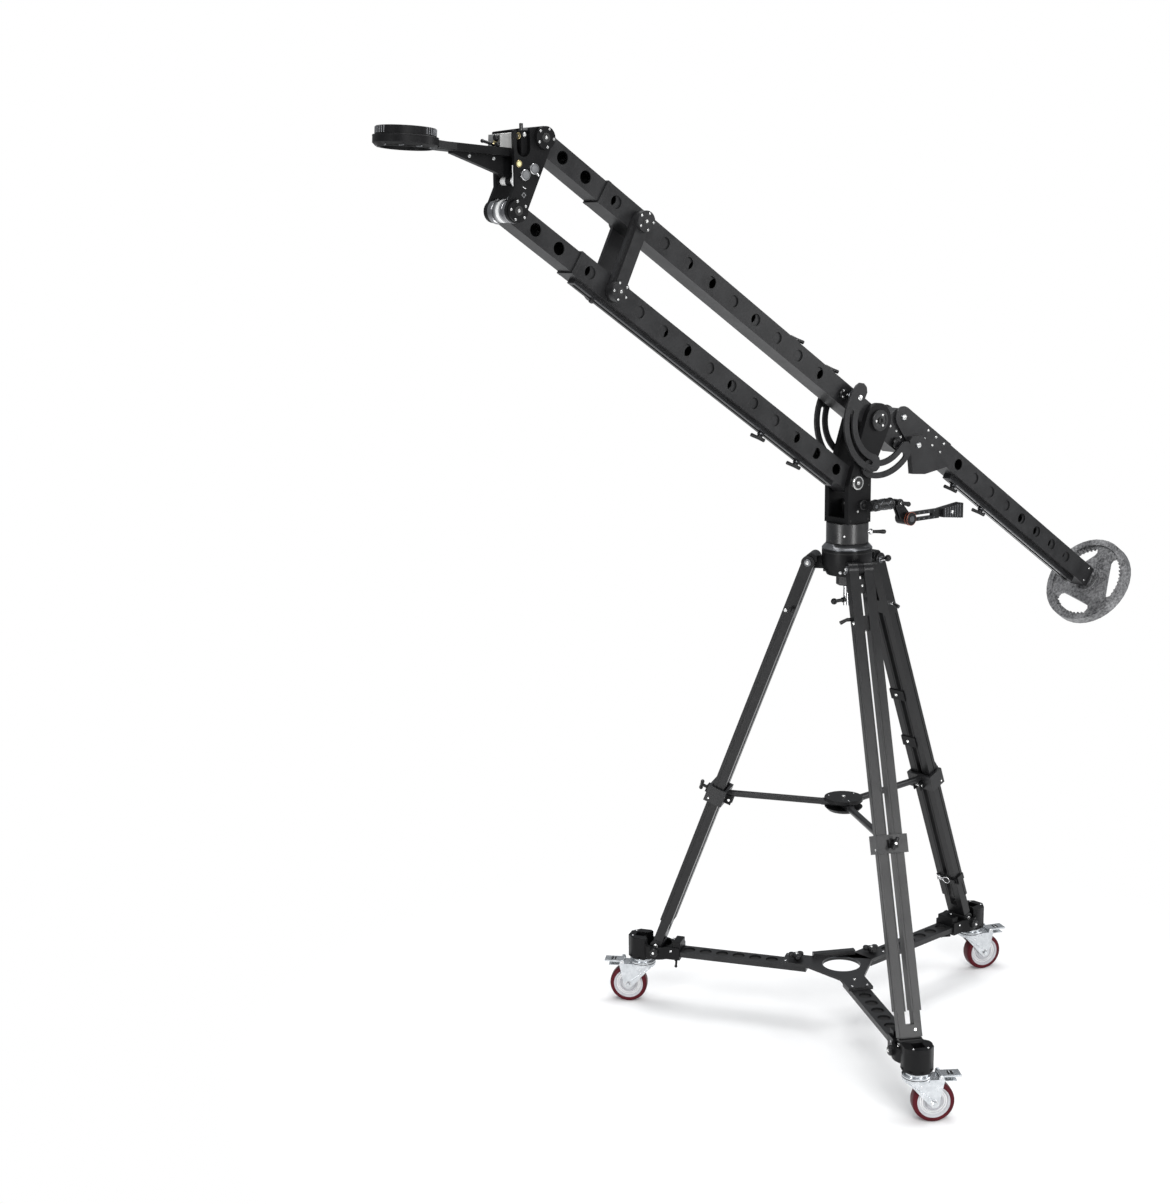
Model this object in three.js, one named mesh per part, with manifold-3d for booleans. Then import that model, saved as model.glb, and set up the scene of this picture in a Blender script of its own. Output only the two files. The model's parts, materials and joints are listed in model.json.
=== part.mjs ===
// Camera jib crane on a tripod and a three-wheeled dolly.
// Millimetres, +Z up. The camera end points along -X, and the counterweight along +X.
// Every piece is built about the pan axis with the floor at zero, and the whole crane is
// moved at the end so that the centre of its box stands over the origin.
import * as THREE from 'three';
import { mergeVertices } from 'three/addons/utils/BufferGeometryUtils.js';
import Module from 'manifold-3d';

const wasm = await Module();
wasm.setup();

// Shared sizes
const degree = Math.PI / 180;
const gap = 0.3;
const overrun = 6;
const weldTolerance = 0.0001;
const wheelSides = 24;
const plateSides = 36;
const roundSides = 24;
const mediumSides = 16;
const smallSides = 8;
const holeSides = 12;
const innerHoleSides = 8;
const arcSteps = 16;
const arcEndSteps = 5;

// Dolly
const frontArmAzimuth = -115.3;
const rightArmAzimuth = 4.7;
const leftArmAzimuth = 124.7;
const casterReach = 539;
const armWidth = 52;
const armThickness = 14;
const armTop = 158;
const armInnerReach = 88;
const armOuterReach = 456;
const armHoleRadius = 16;
const armHoleFirstReach = 184;
const armHolePitch = 45;
const armHoleCount = 6;
const plateThickness = 9;
const plateHoleRadius = 49;
const lobeReach = 152;
const lobeWidth = 64;
const lobeShoulderReach = 84;
const braceHeight = 12;
const braceWidth = 16;
const knobReach = 118;
const knobPostRadius = 7;
const knobPostHeight = 10;
const knobBarRadius = 6;
const knobBarLength = 46;

// Leg cups
const cupBottom = 128;
const cupSeat = 151.7;
const cupRim = 170;
const cupTop = 188;
const cupSoleThickness = 8;
const bossRadius = 38;
const bossPocketLength = 26;
const bossPocketWidth = 28;
const bossPocketDepth = 18;
const basinReach = 494;
const basinRadius = 43;
const basinWall = 8;
const sleeveReach = 428;
const sleeveWidth = 62;
const humpTop = 184;
const humpLength = 22;
const humpWidth = 50;
const wingReach = 50;
const wingRadius = 13;
const wingHeight = 158;

// Casters
const wheelRadius = 50;
const wheelWidth = 32;
const tyreShoulder = 5;
const wheelRimRadius = 40;
const wheelRecess = 6;
const wheelHubRadius = 17;
const axleRadius = 5;
const axleClearance = 0.5;
const casterTrail = 38;
const frontCasterHeading = -32;
const rightCasterHeading = -19;
const leftCasterHeading = 135;
const casterPlateRadius = 29;
const casterStemRadius = 5;
const casterStemLength = 20;
const raceRadius = 34;
const raceHeight = 10;
const forkInnerWidth = 37;
const cheekThickness = 3;
const forkCrownThickness = 5;
const forkNoseReach = 30;
const forkCrownReach = 62;
const axleBossRadius = 12;
const fenderReach = 90;
const fenderThickness = 2;
const wheelClearance = 3;
const pedalPivotReach = 54;
const pedalPivotRise = 5;
const pedalPinRadius = 2;
const pedalPinClearance = 0.4;
const pedalBarrelRadius = 4;
const pedalReach = 102;
const pedalThickness = 4;
const pedalWidth = 33;
const pedalEarRadius = 6;

// Tripod
const hingeRadius = 92;
const hingeHeight = 1225;
const footRadius = 494;
const footPadRadius = 16;
const footPadGap = 0.5;
const footHeight = cupSeat + footPadRadius + footPadGap;
const railWidth = 24;
const railDepth = 30;
const railGap = 14;
const railWall = 2.5;
const upperRailEnd = 1054;
const railCavity = 430;
const lowerRailLength = 400;
const lowerRailWall = 2;
const knuckleRadius = 17;
const hingePinRadius = 5;
const hingePinClearance = 0.6;
const bridgeStart = 26;
const bridgeLength = 34;
const stageClampAt = 134;
const stageClampHeight = 36;
const footBlockHeight = 30;
const crownRadius = 62;
const crownTop = 1262;
const crownShoulder = 1222;
const crownBottom = 1197;
const crownFootRadius = 50;
const crownSeatRadius = 50;
const bowlLevels = [1.1, 0.8, 0.5, 0.25];
const lugThickness = railGap - 2 * gap;
const tieRodRadius = 8;
const tieRodClearance = 1;
const tieNutRadius = 26;
const tieNutHeight = 27;
const tieNutTop = crownBottom - gap;
const tieRodThread = 14;
const tieBarDrop = 65;
const tieRodTip = 15;
const tieBarHeight = crownBottom - tieBarDrop;
const tieRodBottom = tieBarHeight - tieRodTip;
const tieBarReach = 42;
const tieBarRadius = 4.5;
const tieBallRadius = 8;
const handleTopAt = 400;
const handleBottomAt = 545;
const handleStandoff = 34;
const handleBarRadius = 8;
const handleFootRadius = 10;

// Spreader
const spreaderHeight = 603;
const hubDiscRadius = 49;
const hubDiscThickness = 10;
const hubPostRadius = 14;
const spreaderArmRadius = 9;
const tongueThickness = 14;
const tongueReach = 56;
const collarHeight = 44;
const collarWall = 7;
const collarSlack = 3;

// Pan head
const panRingRadius = 62;
const panRingTop = 1277;
const panRingShoulder = 1266;
const panHubRadius = 52;
const panHubTop = 1327.7;
const panPostRadius = 20;
const panPostHeadroom = 6;
const bowlSeatGap = 0.6;
const lockLeverHeight = 1303;
const lockLeverAzimuth = -44;
const lockLeverScrewRadius = 4;
const screwClearance = 0.5;
const lockLeverInset = 12;
const lockLeverGripRadius = 5.5;
const lockLeverGripStart = 66;
const lockLeverReach = 95;

// Yoke and main axles
const yokeBottom = 1328;
const yokeLength = 76;
const yokeBaseThickness = 14;
const yokePlateThickness = 13.5;
const yokeHalfWidth = 41.5;
const yokeShoulder = 1424;
const yokeRearShoulder = 1440;
const yokeHeadRadius = 42;
const webThickness = 12;
const webOffset = 14;
const webTop = 1382;
const upperPivotX = 61;
const upperPivotZ = 1576;
const lowerPivotX = -11;
const lowerPivotZ = 1429;
const mainAxleRadius = 12;
const mainAxleClearance = 0.4;
const axleCapRadius = 26;
const axleCapThickness = 5.5;
const lowerCapRadius = 17;

// Boom
const boomElevation = 33.7;
const outerTube = 54;
const tubeWall = 3;
const innerTube = 47.4;
const boomLength = 1181;
const outerReach = 987;
const upperTail = 118;
const lowerTail = outerTube / 2;
const linkInset = 116;
const linkReach = outerReach - linkInset;
const holeRadius = 14;
const outerHolePitch = 80;
const outerHoleInset = 41;
const outerHoleLast = outerReach - outerHoleInset;
const upperHoleCount = 10;
const lowerHoleCount = 12;
const innerHolePitch = 71;
const innerHoleInset = 70;
const innerHoleLast = boomLength - innerHoleInset;
const innerHoleCount = 8;
const innerTail = 150;
const railStripHeight = 9;
const railStripWidth = 24;
const slotWidth = 8;
const slotStart = 44;
const slotInset = 25;
const slotEnd = outerReach - slotInset;
const barrelRadius = 24;
const stubRadius = 12;
const stubClearance = 0.4;
const capRadius = 23.5;
const capThickness = 8.5;
const linkInner = 28;
const linkThickness = 17;
const linkHeadRadius = 22;
const linkBevel = 8;

// Tilt arcs
const arcInnerRadius = 84;
const arcOuterRadius = 127;
const arcSlotRadius = 105.5;
const arcSlotWidth = 11;
const arcThickness = 5.7;
const arcInnerFace = 48.3;
const arcStartAngle = 168;
const arcEndAngle = 290;
const arcSlotStartAngle = 198;
const arcSlotEndAngle = 284;
const arcBossReach = 97;
const arcBossRise = 8;
const arcBossRadius = 11;

// Levelling head
const headPlateInner = 31;
const headPlateThickness = 9;
const headTopCorner = 75;
const headTopRise = 15;
const headFrontDrop = 100;
const headCornerRadius = 3;
const headUpperRadius = 24;
const headLowerRadius = 25;
const crossBlockFront = 50;
const crossBlockRear = 34;
const crossBlockTop = 15;
const crossBlockBottom = -70;
const tiltPinReach = 57;
const tiltPinDrop = 86;
const tiltPinRadius = 7.5;
const tiltPinClearance = 0.5;
const tiltBarrelRadius = 10.5;
const tiltBarrelHalf = 8;
const cameraTilt = 4.5;
const cameraReach = 256;
const cameraDeckRise = 63.5;
const cameraDeckRear = 8;
const cameraDeckThickness = 16;
const cameraNeckWidth = 46;
const cameraTailWidth = 52;
const bowlFlangeRadius = 66;
const bowlFlangeHeight = 20.8;
const bowlFlangeStep = 2.3;
const bowlChamfer = 6;
const bowlRimRadius = 60.5;
const bowlRimHeight = 17.4;
const bowlBoreRadius = 50;
const gussetReach = 151;
const gussetFrontHeight = 4.5;
const gussetKneeReach = 32;
const gussetKneeRise = 11;
const gussetHeelReach = 22;
const gussetHeelRise = 6;
const gussetRear = 2;
const clampBlockFront = 46;
const clampBlockRear = 12;
const clampBlockWidth = 46;
const clampBlockFrontHeight = 27;
const clampBlockRearHeight = 33;
const clampScrewRadius = 4;
const clampScrewRise = 4;
const clampBarRadius = 4;
const clampBarHalf = 27;
const clampScrewTail = 5;
const clampScrewTip = 5;

// Rear arm
const rearOffset = 54.6;
const rearStart = 150;
const rearEnd = 969;
const rearHoleFirst = 328;
const rearHolePitch = 75;
const rearHoleCount = 8;
const rearInnerStart = 345;
const rearInnerHoleFirst = 620;
const rearInnerHoleCount = 5;
const rearSlotStart = 352;
const rearSlotEnd = 925;
const rearStripStart = 335;
const rearStripEnd = 935;
const rearStripHeight = 12;
const hingePlateThickness = 6;
const hingePlateReach = 268;
const hingeBoltReach = 79;
const hingeBoltRise = 53;
const hingePlateRadius = 27;
const hingePlateFootReach = 148;
const hingePlateFootRise = 14;
const endBlockReach = 172;
const endBlockRise = 61;
const dragInnerRadius = 98;
const dragOuterRadius = 142;
const dragSlotRadius = 120;
const dragSlotWidth = 15;
const dragInnerFace = 42;
const dragThickness = 5.5;
const dragStartAngle = -74;
const dragEndAngle = -8;
const dragSlotStartAngle = -66;
const dragSlotEndAngle = -16;

// Counterweight
const weightReach = 1012;
const weightRadius = 123.5;
const weightThickness = 28;
const weightWebThickness = 16;
const weightRimWidth = 17;
const weightHubRadius = 40;
const weightBoreRadius = 13;
const gripOuterRadius = 100;
const gripInnerRadius = 62;
const gripSpan = 68;
const gripAngle = -105.5;
const gripEndRadius = 13;
const spigotRadius = 12;
const spigotLength = 92;
const retainerRadius = 24;
const retainerThickness = 16;
const endCapThickness = 12;

// Lock levers on the telescoping tubes
const leverScrewRadius = 3.4;
const leverCollarRadius = 7;
const leverCollarHeight = 10;
const leverBarRadius = 3.6;
const leverBarLength = 36;
const leverPocketRadius = 4.2;
const frontLeverReach = 305;
const rearLeverReach = 168;
const rearArmLeverNear = 370;
const rearArmLeverFar = 500;

// Monitor arm on the side of the yoke
const monitorRootX = 20;
const monitorRootZ = 1371;
const monitorY = -62;
const monitorBaseLength = 86;
const monitorBaseRadius = 14;
const monitorSocketRadius = 9;
const monitorTongueRadius = 9;
const monitorTongueThickness = 6;
const monitorCheekThickness = 5;
const monitorHingeRoom = 18;
const monitorPinRadius = 3;
const monitorPinClearance = 0.4;
const monitorElbowDrop = 41;
const monitorElbowReach = 28;
const monitorElbowRadius = 16;
const monitorArmLength = 104;
const monitorArmWidth = 24;
const monitorArmThickness = 10;
const monitorSlotWidth = 7;
const monitorHeadLength = 72;
const monitorHeadWidth = 38;
const monitorHeadWaist = 22;
const monitorHeadThickness = 25;
const monitorNeckLength = 8;
const monitorNeckRadius = 5;

// Materials
function metal(color, roughness, metalness) {
  return new THREE.MeshStandardMaterial({ color, roughness, metalness });
}

function blackAnodised() {
  return metal(0x1d1d1f, 0.45, 0.6);
}

function blackCasting() {
  return metal(0x17171a, 0.6, 0.2);
}

function blackPlastic() {
  return metal(0x131315, 0.5, 0);
}

function brightZinc() {
  return metal(0xd5dadd, 0.3, 0.9);
}

function polishedSteel() {
  return metal(0xb9bcc0, 0.25, 1);
}

function bareAluminium() {
  return metal(0xb4b4b2, 0.45, 0.9);
}

function redTyre() {
  return metal(0x5c0f18, 0.5, 0);
}

function hammeredIron() {
  return metal(0x6d6e70, 0.55, 0.7);
}

// A closed geometry as a solid that can be joined and cut
function solid(geometry) {
  geometry.deleteAttribute('normal');
  geometry.deleteAttribute('uv');
  const merged = mergeVertices(geometry, weldTolerance);
  const corners = [];
  const index = merged.index.array;
  for (let i = 0; i < index.length; i += 3) {
    const [a, b, c] = [index[i], index[i + 1], index[i + 2]];
    if (a !== b && b !== c && c !== a) corners.push(a, b, c);
  }
  const mesh = new wasm.Mesh({
    numProp: 3,
    vertProperties: merged.attributes.position.array,
    triVerts: new Uint32Array(corners),
  });
  return new wasm.Manifold(mesh);
}

function join(first, ...others) {
  return others.reduce((body, other) => body.add(other), first);
}

function cut(body, ...tools) {
  return tools.reduce((rest, tool) => rest.subtract(tool), body);
}

// A box between two corners
function block(low, high) {
  const size = high.map((value, i) => value - low[i]);
  const geometry = new THREE.BoxGeometry(...size);
  geometry.translate(...low.map((value, i) => value + size[i] / 2));
  return solid(geometry);
}

// Round bars along each axis: radius, from, to, and the two other coordinates
function rodY(radius, from, to, x, z, sides = mediumSides) {
  const geometry = new THREE.CylinderGeometry(radius, radius, to - from, sides);
  geometry.translate(x, (from + to) / 2, z);
  return solid(geometry);
}

function rodZ(radius, from, to, x, y, sides = mediumSides) {
  const geometry = new THREE.CylinderGeometry(radius, radius, to - from, sides);
  geometry.rotateX(Math.PI / 2);
  geometry.translate(x, y, (from + to) / 2);
  return solid(geometry);
}

function rodX(radius, from, to, y, z, sides = mediumSides) {
  const geometry = new THREE.CylinderGeometry(radius, radius, to - from, sides);
  geometry.rotateZ(Math.PI / 2);
  geometry.translate((from + to) / 2, y, z);
  return solid(geometry);
}

// A profile of [radius, height] pairs turned about Z
function turned(profile, sides = roundSides) {
  const points = profile.map(([radius, height]) => new THREE.Vector2(radius, height));
  const geometry = new THREE.LatheGeometry(points, sides);
  geometry.rotateX(Math.PI / 2);
  return solid(geometry);
}

// A ring-shaped profile, closed on itself, turned about Z
function turnedRing(profile, sides = roundSides) {
  return turned([...profile, profile[0]], sides);
}

function outline(points) {
  return new THREE.Shape(points.map(([x, y]) => new THREE.Vector2(x, y)));
}

// Points along an arc, from its start angle through its sweep, both in radians
function arcPoints(x, y, radius, start, sweep, steps) {
  return Array.from({ length: steps + 1 }, (_, i) => {
    const angle = start + (i / steps) * sweep;
    return [x + radius * Math.cos(angle), y + radius * Math.sin(angle)];
  });
}

function circleHole(x, y, radius, sides) {
  const points = arcPoints(x, y, radius, 0, -2 * Math.PI, sides).slice(0, -1);
  return new THREE.Path(points.map(([px, py]) => new THREE.Vector2(px, py)));
}

// An outline drawn in X and Z, as a plate from one Y to another
function plateY(shape, from, to) {
  const settings = { depth: to - from, bevelEnabled: false };
  const geometry = new THREE.ExtrudeGeometry(shape, settings);
  geometry.rotateX(Math.PI / 2);
  geometry.translate(0, to, 0);
  return solid(geometry);
}

// An outline drawn in X and Y, as a plate from one Z to another
function plateZ(shape, from, to) {
  const settings = { depth: to - from, bevelEnabled: false };
  const geometry = new THREE.ExtrudeGeometry(shape, settings);
  geometry.translate(0, 0, from);
  return solid(geometry);
}

// The band drawn tightly round a set of circles, each [x, y, radius]
function bandRound(circles, steps = mediumSides) {
  const points = circles.flatMap(([x, y, radius]) => {
    return radius > gap ? arcPoints(x, y, radius, 0, 2 * Math.PI, steps).slice(0, -1) : [[x, y]];
  });
  points.sort((a, b) => a[0] - b[0] || a[1] - b[1]);
  const turn = (o, a, b) => (a[0] - o[0]) * (b[1] - o[1]) - (a[1] - o[1]) * (b[0] - o[0]);
  const half = (list) => {
    const chain = [];
    for (const point of list) {
      while (chain.length > 1 && turn(chain.at(-2), chain.at(-1), point) <= weldTolerance) {
        chain.pop();
      }
      chain.push(point);
    }
    return chain.slice(0, -1);
  };
  return outline([...half(points), ...half([...points].reverse())]);
}

// A flat ring sector about the origin with round ends, its angles in degrees
function arcBand(innerRadius, outerRadius, startAngle, endAngle) {
  const middle = (innerRadius + outerRadius) / 2;
  const half = (outerRadius - innerRadius) / 2;
  const start = startAngle * degree;
  const end = endAngle * degree;
  const endCentre = [middle * Math.cos(end), middle * Math.sin(end)];
  const startCentre = [middle * Math.cos(start), middle * Math.sin(start)];
  return outline([
    ...arcPoints(0, 0, outerRadius, start, end - start, arcSteps),
    ...arcPoints(...endCentre, half, end, Math.PI, arcEndSteps).slice(1, -1),
    ...arcPoints(0, 0, innerRadius, end, start - end, arcSteps),
    ...arcPoints(...startCentre, half, start + Math.PI, Math.PI, arcEndSteps).slice(1, -1),
  ]);
}

// Adds a finished piece to its group
function addPiece(group, name, body, material) {
  const mesh = body.getMesh();
  const geometry = new THREE.BufferGeometry();
  geometry.setAttribute('position', new THREE.BufferAttribute(mesh.vertProperties, 3));
  geometry.setIndex(new THREE.BufferAttribute(mesh.triVerts, 1));
  geometry.computeVertexNormals();
  const piece = new THREE.Mesh(geometry, material);
  piece.name = name;
  group.add(piece);
}

function groupAt(parent, x, y, z) {
  const group = new THREE.Group();
  group.position.set(x, y, z);
  parent.add(group);
  return group;
}

function leaning(group, angle) {
  group.rotation.y = angle * degree;
  return group;
}

function facing(group, azimuth) {
  group.rotation.z = azimuth * degree;
  return group;
}

// Dolly
function dollyPlate() {
  const lobes = [frontArmAzimuth, rightArmAzimuth, leftArmAzimuth];
  const half = lobeWidth / 2;
  const corners = [
    [lobeShoulderReach, -half], [lobeReach, -half], [lobeReach, half], [lobeShoulderReach, half],
  ];
  const points = lobes.flatMap((azimuth) => corners.map(([along, across]) => {
    const angle = azimuth * degree;
    const x = along * Math.cos(angle) - across * Math.sin(angle);
    const y = along * Math.sin(angle) + across * Math.cos(angle);
    return [x, y];
  }));
  const shape = outline(points);
  shape.holes.push(circleHole(0, 0, plateHoleRadius, plateSides));
  const plate = plateZ(shape, armTop, armTop + plateThickness);
  return join(plate, brace());
}

// The upright bar along the plate's far edge, between the right and left lobes
function brace() {
  const angle = ((rightArmAzimuth + leftArmAzimuth) / 2) * degree;
  const shoulder = Math.hypot(lobeShoulderReach, lobeWidth / 2);
  const between = ((leftArmAzimuth - rightArmAzimuth) / 2) * degree;
  const spread = between - Math.atan2(lobeWidth / 2, lobeShoulderReach);
  const across = shoulder * Math.sin(spread);
  const inset = shoulder * Math.cos(spread);
  const top = armTop + plateThickness;
  const bar = new THREE.BoxGeometry(braceWidth, 2 * across, braceHeight + plateThickness / 2);
  bar.translate(inset - braceWidth / 2 - gap, 0, top + braceHeight / 2 - plateThickness / 4);
  bar.rotateZ(angle);
  return solid(bar);
}

function dollyArm() {
  const shape = outline([
    [armInnerReach, -armWidth / 2],
    [armOuterReach, -armWidth / 2],
    [armOuterReach, armWidth / 2],
    [armInnerReach, armWidth / 2],
  ]);
  for (let i = 0; i < armHoleCount; i += 1) {
    shape.holes.push(circleHole(armHoleFirstReach + i * armHolePitch, 0, armHoleRadius, holeSides));
  }
  return plateZ(shape, armTop - armThickness, armTop - gap);
}

function legCup() {
  const bottom = armTop - armThickness - cupSoleThickness;
  const boss = rodZ(bossRadius, cupBottom, cupTop, 0, 0, smallSides)
    .rotate([0, 0, 180 / smallSides]).translate([casterReach, 0, 0]);
  const basin = rodZ(basinRadius, bottom, cupRim, basinReach, 0, roundSides);
  const sleeve = block([sleeveReach, -sleeveWidth / 2, bottom], [basinReach, sleeveWidth / 2, cupRim]);
  const humpEnd = sleeveReach + humpLength;
  const hump = block([sleeveReach, -humpWidth / 2, bottom], [humpEnd, humpWidth / 2, humpTop]);
  const wings = rodY(wingRadius, -wingReach, wingReach, basinReach, wingHeight, smallSides);
  const hollow = rodZ(basinRadius - basinWall, cupSeat, cupTop + overrun, basinReach, 0, roundSides);
  const bridge = block([basinReach, -bossRadius / 2, bottom], [casterReach, bossRadius / 2, cupRim]);
  const pocket = block(
    [casterReach - bossPocketLength / 3, -bossPocketWidth / 2, cupTop - bossPocketDepth],
    [casterReach + 2 * bossPocketLength / 3, bossPocketWidth / 2, cupTop + overrun],
  );
  const armPocket = block(
    [armInnerReach, -armWidth / 2 - gap, armTop - armThickness - gap],
    [armOuterReach + gap, armWidth / 2 + gap, armTop],
  );
  const stemTop = cupBottom + casterStemLength;
  const stemHole = rodZ(casterStemRadius + screwClearance, cupBottom - overrun, stemTop, casterReach, 0,
    smallSides);
  return cut(join(boss, basin, bridge, sleeve, hump, wings), hollow, pocket, armPocket, stemHole);
}

function dollyKnob() {
  const base = armTop + plateThickness + gap;
  const post = rodZ(knobPostRadius, base, base + knobPostHeight + knobBarRadius, 0, 0, smallSides);
  const half = knobBarLength / 2;
  const bar = rodX(knobBarRadius, -half, half, 0, base + knobPostHeight + knobBarRadius, smallSides);
  return join(post, bar);
}

// Casters: X runs from the swivel axis to the wheel
const forkCrownBottom = 2 * wheelRadius + wheelClearance;
const forkCrownTop = forkCrownBottom + forkCrownThickness;
const forkHalfWidth = forkInnerWidth / 2 + cheekThickness;

function casterFork() {
  const raceTop = forkCrownTop + raceHeight;
  const plate = rodZ(casterPlateRadius, raceTop - gap, cupBottom - gap, 0, 0, roundSides);
  const stemTop = cupBottom + casterStemLength - gap;
  const stem = rodZ(casterStemRadius, cupBottom - 2 * gap, stemTop, 0, 0, smallSides);
  const race = rodZ(raceRadius, forkCrownBottom, raceTop, 0, 0, roundSides);
  const crown = block(
    [-forkNoseReach, -forkHalfWidth, forkCrownBottom],
    [forkCrownReach, forkHalfWidth, forkCrownTop],
  );
  const fender = block(
    [forkCrownReach - overrun, -forkHalfWidth, forkCrownBottom],
    [fenderReach, forkHalfWidth, forkCrownBottom + fenderThickness],
  );
  const cheekShape = bandRound([
    [-forkNoseReach, forkCrownTop, 0],
    [forkCrownReach, forkCrownTop, 0],
    [casterTrail, wheelRadius, axleBossRadius],
  ]);
  const earShape = bandRound([
    [pedalPivotReach, forkCrownTop + pedalPivotRise, pedalEarRadius],
    [pedalPivotReach - pedalEarRadius, forkCrownBottom, 0],
    [pedalPivotReach + pedalEarRadius, forkCrownBottom, 0],
  ], smallSides);
  const inner = forkInnerWidth / 2;
  const sides = [-forkHalfWidth, inner].flatMap((y) => [
    plateY(cheekShape, y, y + cheekThickness),
    plateY(earShape, y, y + cheekThickness),
  ]);
  const axle = rodY(axleRadius, -forkHalfWidth, forkHalfWidth, casterTrail, wheelRadius, smallSides);
  const pinHole = rodY(pedalPinRadius + pedalPinClearance, -2 * forkHalfWidth, 2 * forkHalfWidth,
    pedalPivotReach, forkCrownTop + pedalPivotRise, smallSides);
  return cut(join(plate, stem, race, crown, fender, ...sides, axle), pinHole);
}

// The wheel, turned about its own axle, which runs along Y
function casterWheel() {
  const half = wheelWidth / 2;
  const bore = axleRadius + axleClearance;
  return turnedRing([
    [bore, -half], [wheelHubRadius, -half], [wheelHubRadius, -half + wheelRecess],
    [wheelRimRadius, -half + wheelRecess], [wheelRimRadius, -half],
    [wheelRadius - tyreShoulder, -half], [wheelRadius, -half + tyreShoulder],
    [wheelRadius, half - tyreShoulder], [wheelRadius - tyreShoulder, half],
    [wheelRimRadius, half], [wheelRimRadius, half - wheelRecess],
    [wheelHubRadius, half - wheelRecess], [wheelHubRadius, half], [bore, half],
  ], wheelSides).rotate([90, 0, 0]);
}

function brakePedal() {
  const height = forkCrownTop + pedalPivotRise;
  const half = pedalWidth / 2;
  const barrel = rodY(pedalBarrelRadius, -half, half, pedalPivotReach, height, smallSides);
  const pin = rodY(pedalPinRadius, -forkHalfWidth, forkHalfWidth, pedalPivotReach, height, smallSides);
  const plate = block(
    [pedalPivotReach, -half, height - pedalThickness / 2],
    [pedalReach, half, height + pedalThickness / 2],
  );
  const slot = block(
    [pedalPivotReach + pedalWidth / 2, -half / 2, height - pedalThickness],
    [pedalReach - pedalWidth / 2, half / 2, height + pedalThickness],
  );
  return cut(join(barrel, pin, plate), slot);
}

// Tripod
const legDrop = hingeHeight - footHeight;
const legRun = footRadius - hingeRadius;
const legTilt = Math.atan2(legRun, legDrop) / degree;
const legLength = Math.hypot(legRun, legDrop);
const railOuter = railGap / 2 + railWidth;

// One rail of a leg: a rectangular tube beside the leg's middle plane, running down
function legRail(side, start, end, inset) {
  const from = side > 0 ? railGap / 2 + inset : -railOuter + inset;
  const to = side > 0 ? railOuter - inset : -railGap / 2 - inset;
  const depth = railDepth / 2 - inset;
  return block([-depth, from, -end], [depth, to, -start]);
}

const bowlFloor = crownTop - crownSeatRadius * Math.sin(bowlLevels.at(0));

// The ball-shaped part of the bowl and of the head that stands in it, from the bottom up
function ballProfile(radius) {
  return bowlLevels.map((angle) => [radius * Math.cos(angle), crownTop - radius * Math.sin(angle)]);
}

function tripodCrown() {
  const seat = crownSeatRadius;
  const bowl = turnedRing([
    [tieRodRadius + tieRodClearance, crownBottom], [crownFootRadius, crownBottom],
    [crownRadius, crownShoulder], [crownRadius, crownTop], [seat, crownTop],
    ...ballProfile(seat).reverse(),
    [tieRodRadius + tieRodClearance, bowlFloor - bowlSeatGap],
  ]);
  const lugShape = bandRound([
    [hingeRadius, hingeHeight, knuckleRadius - gap],
    [crownFootRadius, hingeHeight, knuckleRadius - gap],
  ]);
  const lugs = [frontArmAzimuth, rightArmAzimuth, leftArmAzimuth].flatMap((azimuth) => {
    const turn = [0, 0, azimuth];
    const lug = plateY(lugShape, -lugThickness / 2, lugThickness / 2).rotate(turn);
    const pin = rodY(hingePinRadius, -railOuter, railOuter, hingeRadius, hingeHeight, smallSides);
    return [lug, pin.rotate(turn)];
  });
  const hollow = turned([
    [0, bowlFloor - bowlSeatGap], ...ballProfile(seat), [seat, crownTop], [0, crownTop],
  ]);
  return cut(join(bowl, ...lugs), hollow);
}

function tieDownHandle() {
  const rod = rodZ(tieRodRadius, tieRodBottom, crownShoulder, 0, 0, mediumSides);
  const nut = rodZ(tieNutRadius, tieNutTop - tieNutHeight, tieNutTop, 0, 0, roundSides);
  const bar = rodX(tieBarRadius, -tieBarReach, tieRodRadius, 0, tieBarHeight, smallSides);
  const ball = new THREE.SphereGeometry(tieBallRadius, smallSides, smallSides / 2);
  ball.translate(-tieBarReach, 0, tieBarHeight);
  return join(rod, nut, bar, solid(ball));
}

function legUpper(withHandle) {
  const rails = [-1, 1].map((side) => legRail(side, 0, upperRailEnd, 0));
  const knuckles = [-railOuter, railGap / 2].map((y) => {
    return rodY(knuckleRadius, y, y + railWidth, 0, 0, roundSides);
  });
  const bridge = block(
    [-railDepth / 4, -railGap, -bridgeStart - bridgeLength],
    [railDepth / 4, railGap, -bridgeStart],
  );
  const clamp = block(
    [-railDepth / 2 + gap, -railOuter, -stageClampAt - stageClampHeight / 2],
    [railDepth / 4, railOuter, -stageClampAt + stageClampHeight / 2],
  );
  const cavities = [-1, 1].map((side) => {
    return legRail(side, upperRailEnd - railCavity, upperRailEnd + overrun, railWall);
  });
  const pinHole = rodY(hingePinRadius + hingePinClearance, -2 * railOuter, 2 * railOuter, 0, 0, smallSides);
  const leg = cut(join(...rails, ...knuckles, bridge, clamp), ...cavities, pinHole);
  return withHandle ? join(leg, carryHandle()) : leg;
}

// The looped carry handle on the outer face of the right leg
function carryHandle() {
  const face = railDepth / 2 - gap;
  const reach = railDepth / 2 + handleStandoff;
  const across = railGap / 2 + railWidth / 2;
  const feet = [handleTopAt, handleBottomAt].map((at) => {
    return rodX(handleFootRadius, face, reach, across, -at, smallSides);
  });
  const grip = rodZ(handleBarRadius, -handleBottomAt - handleFootRadius, -handleTopAt + handleFootRadius,
    reach - handleBarRadius, across, smallSides);
  return join(...feet, grip);
}

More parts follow.
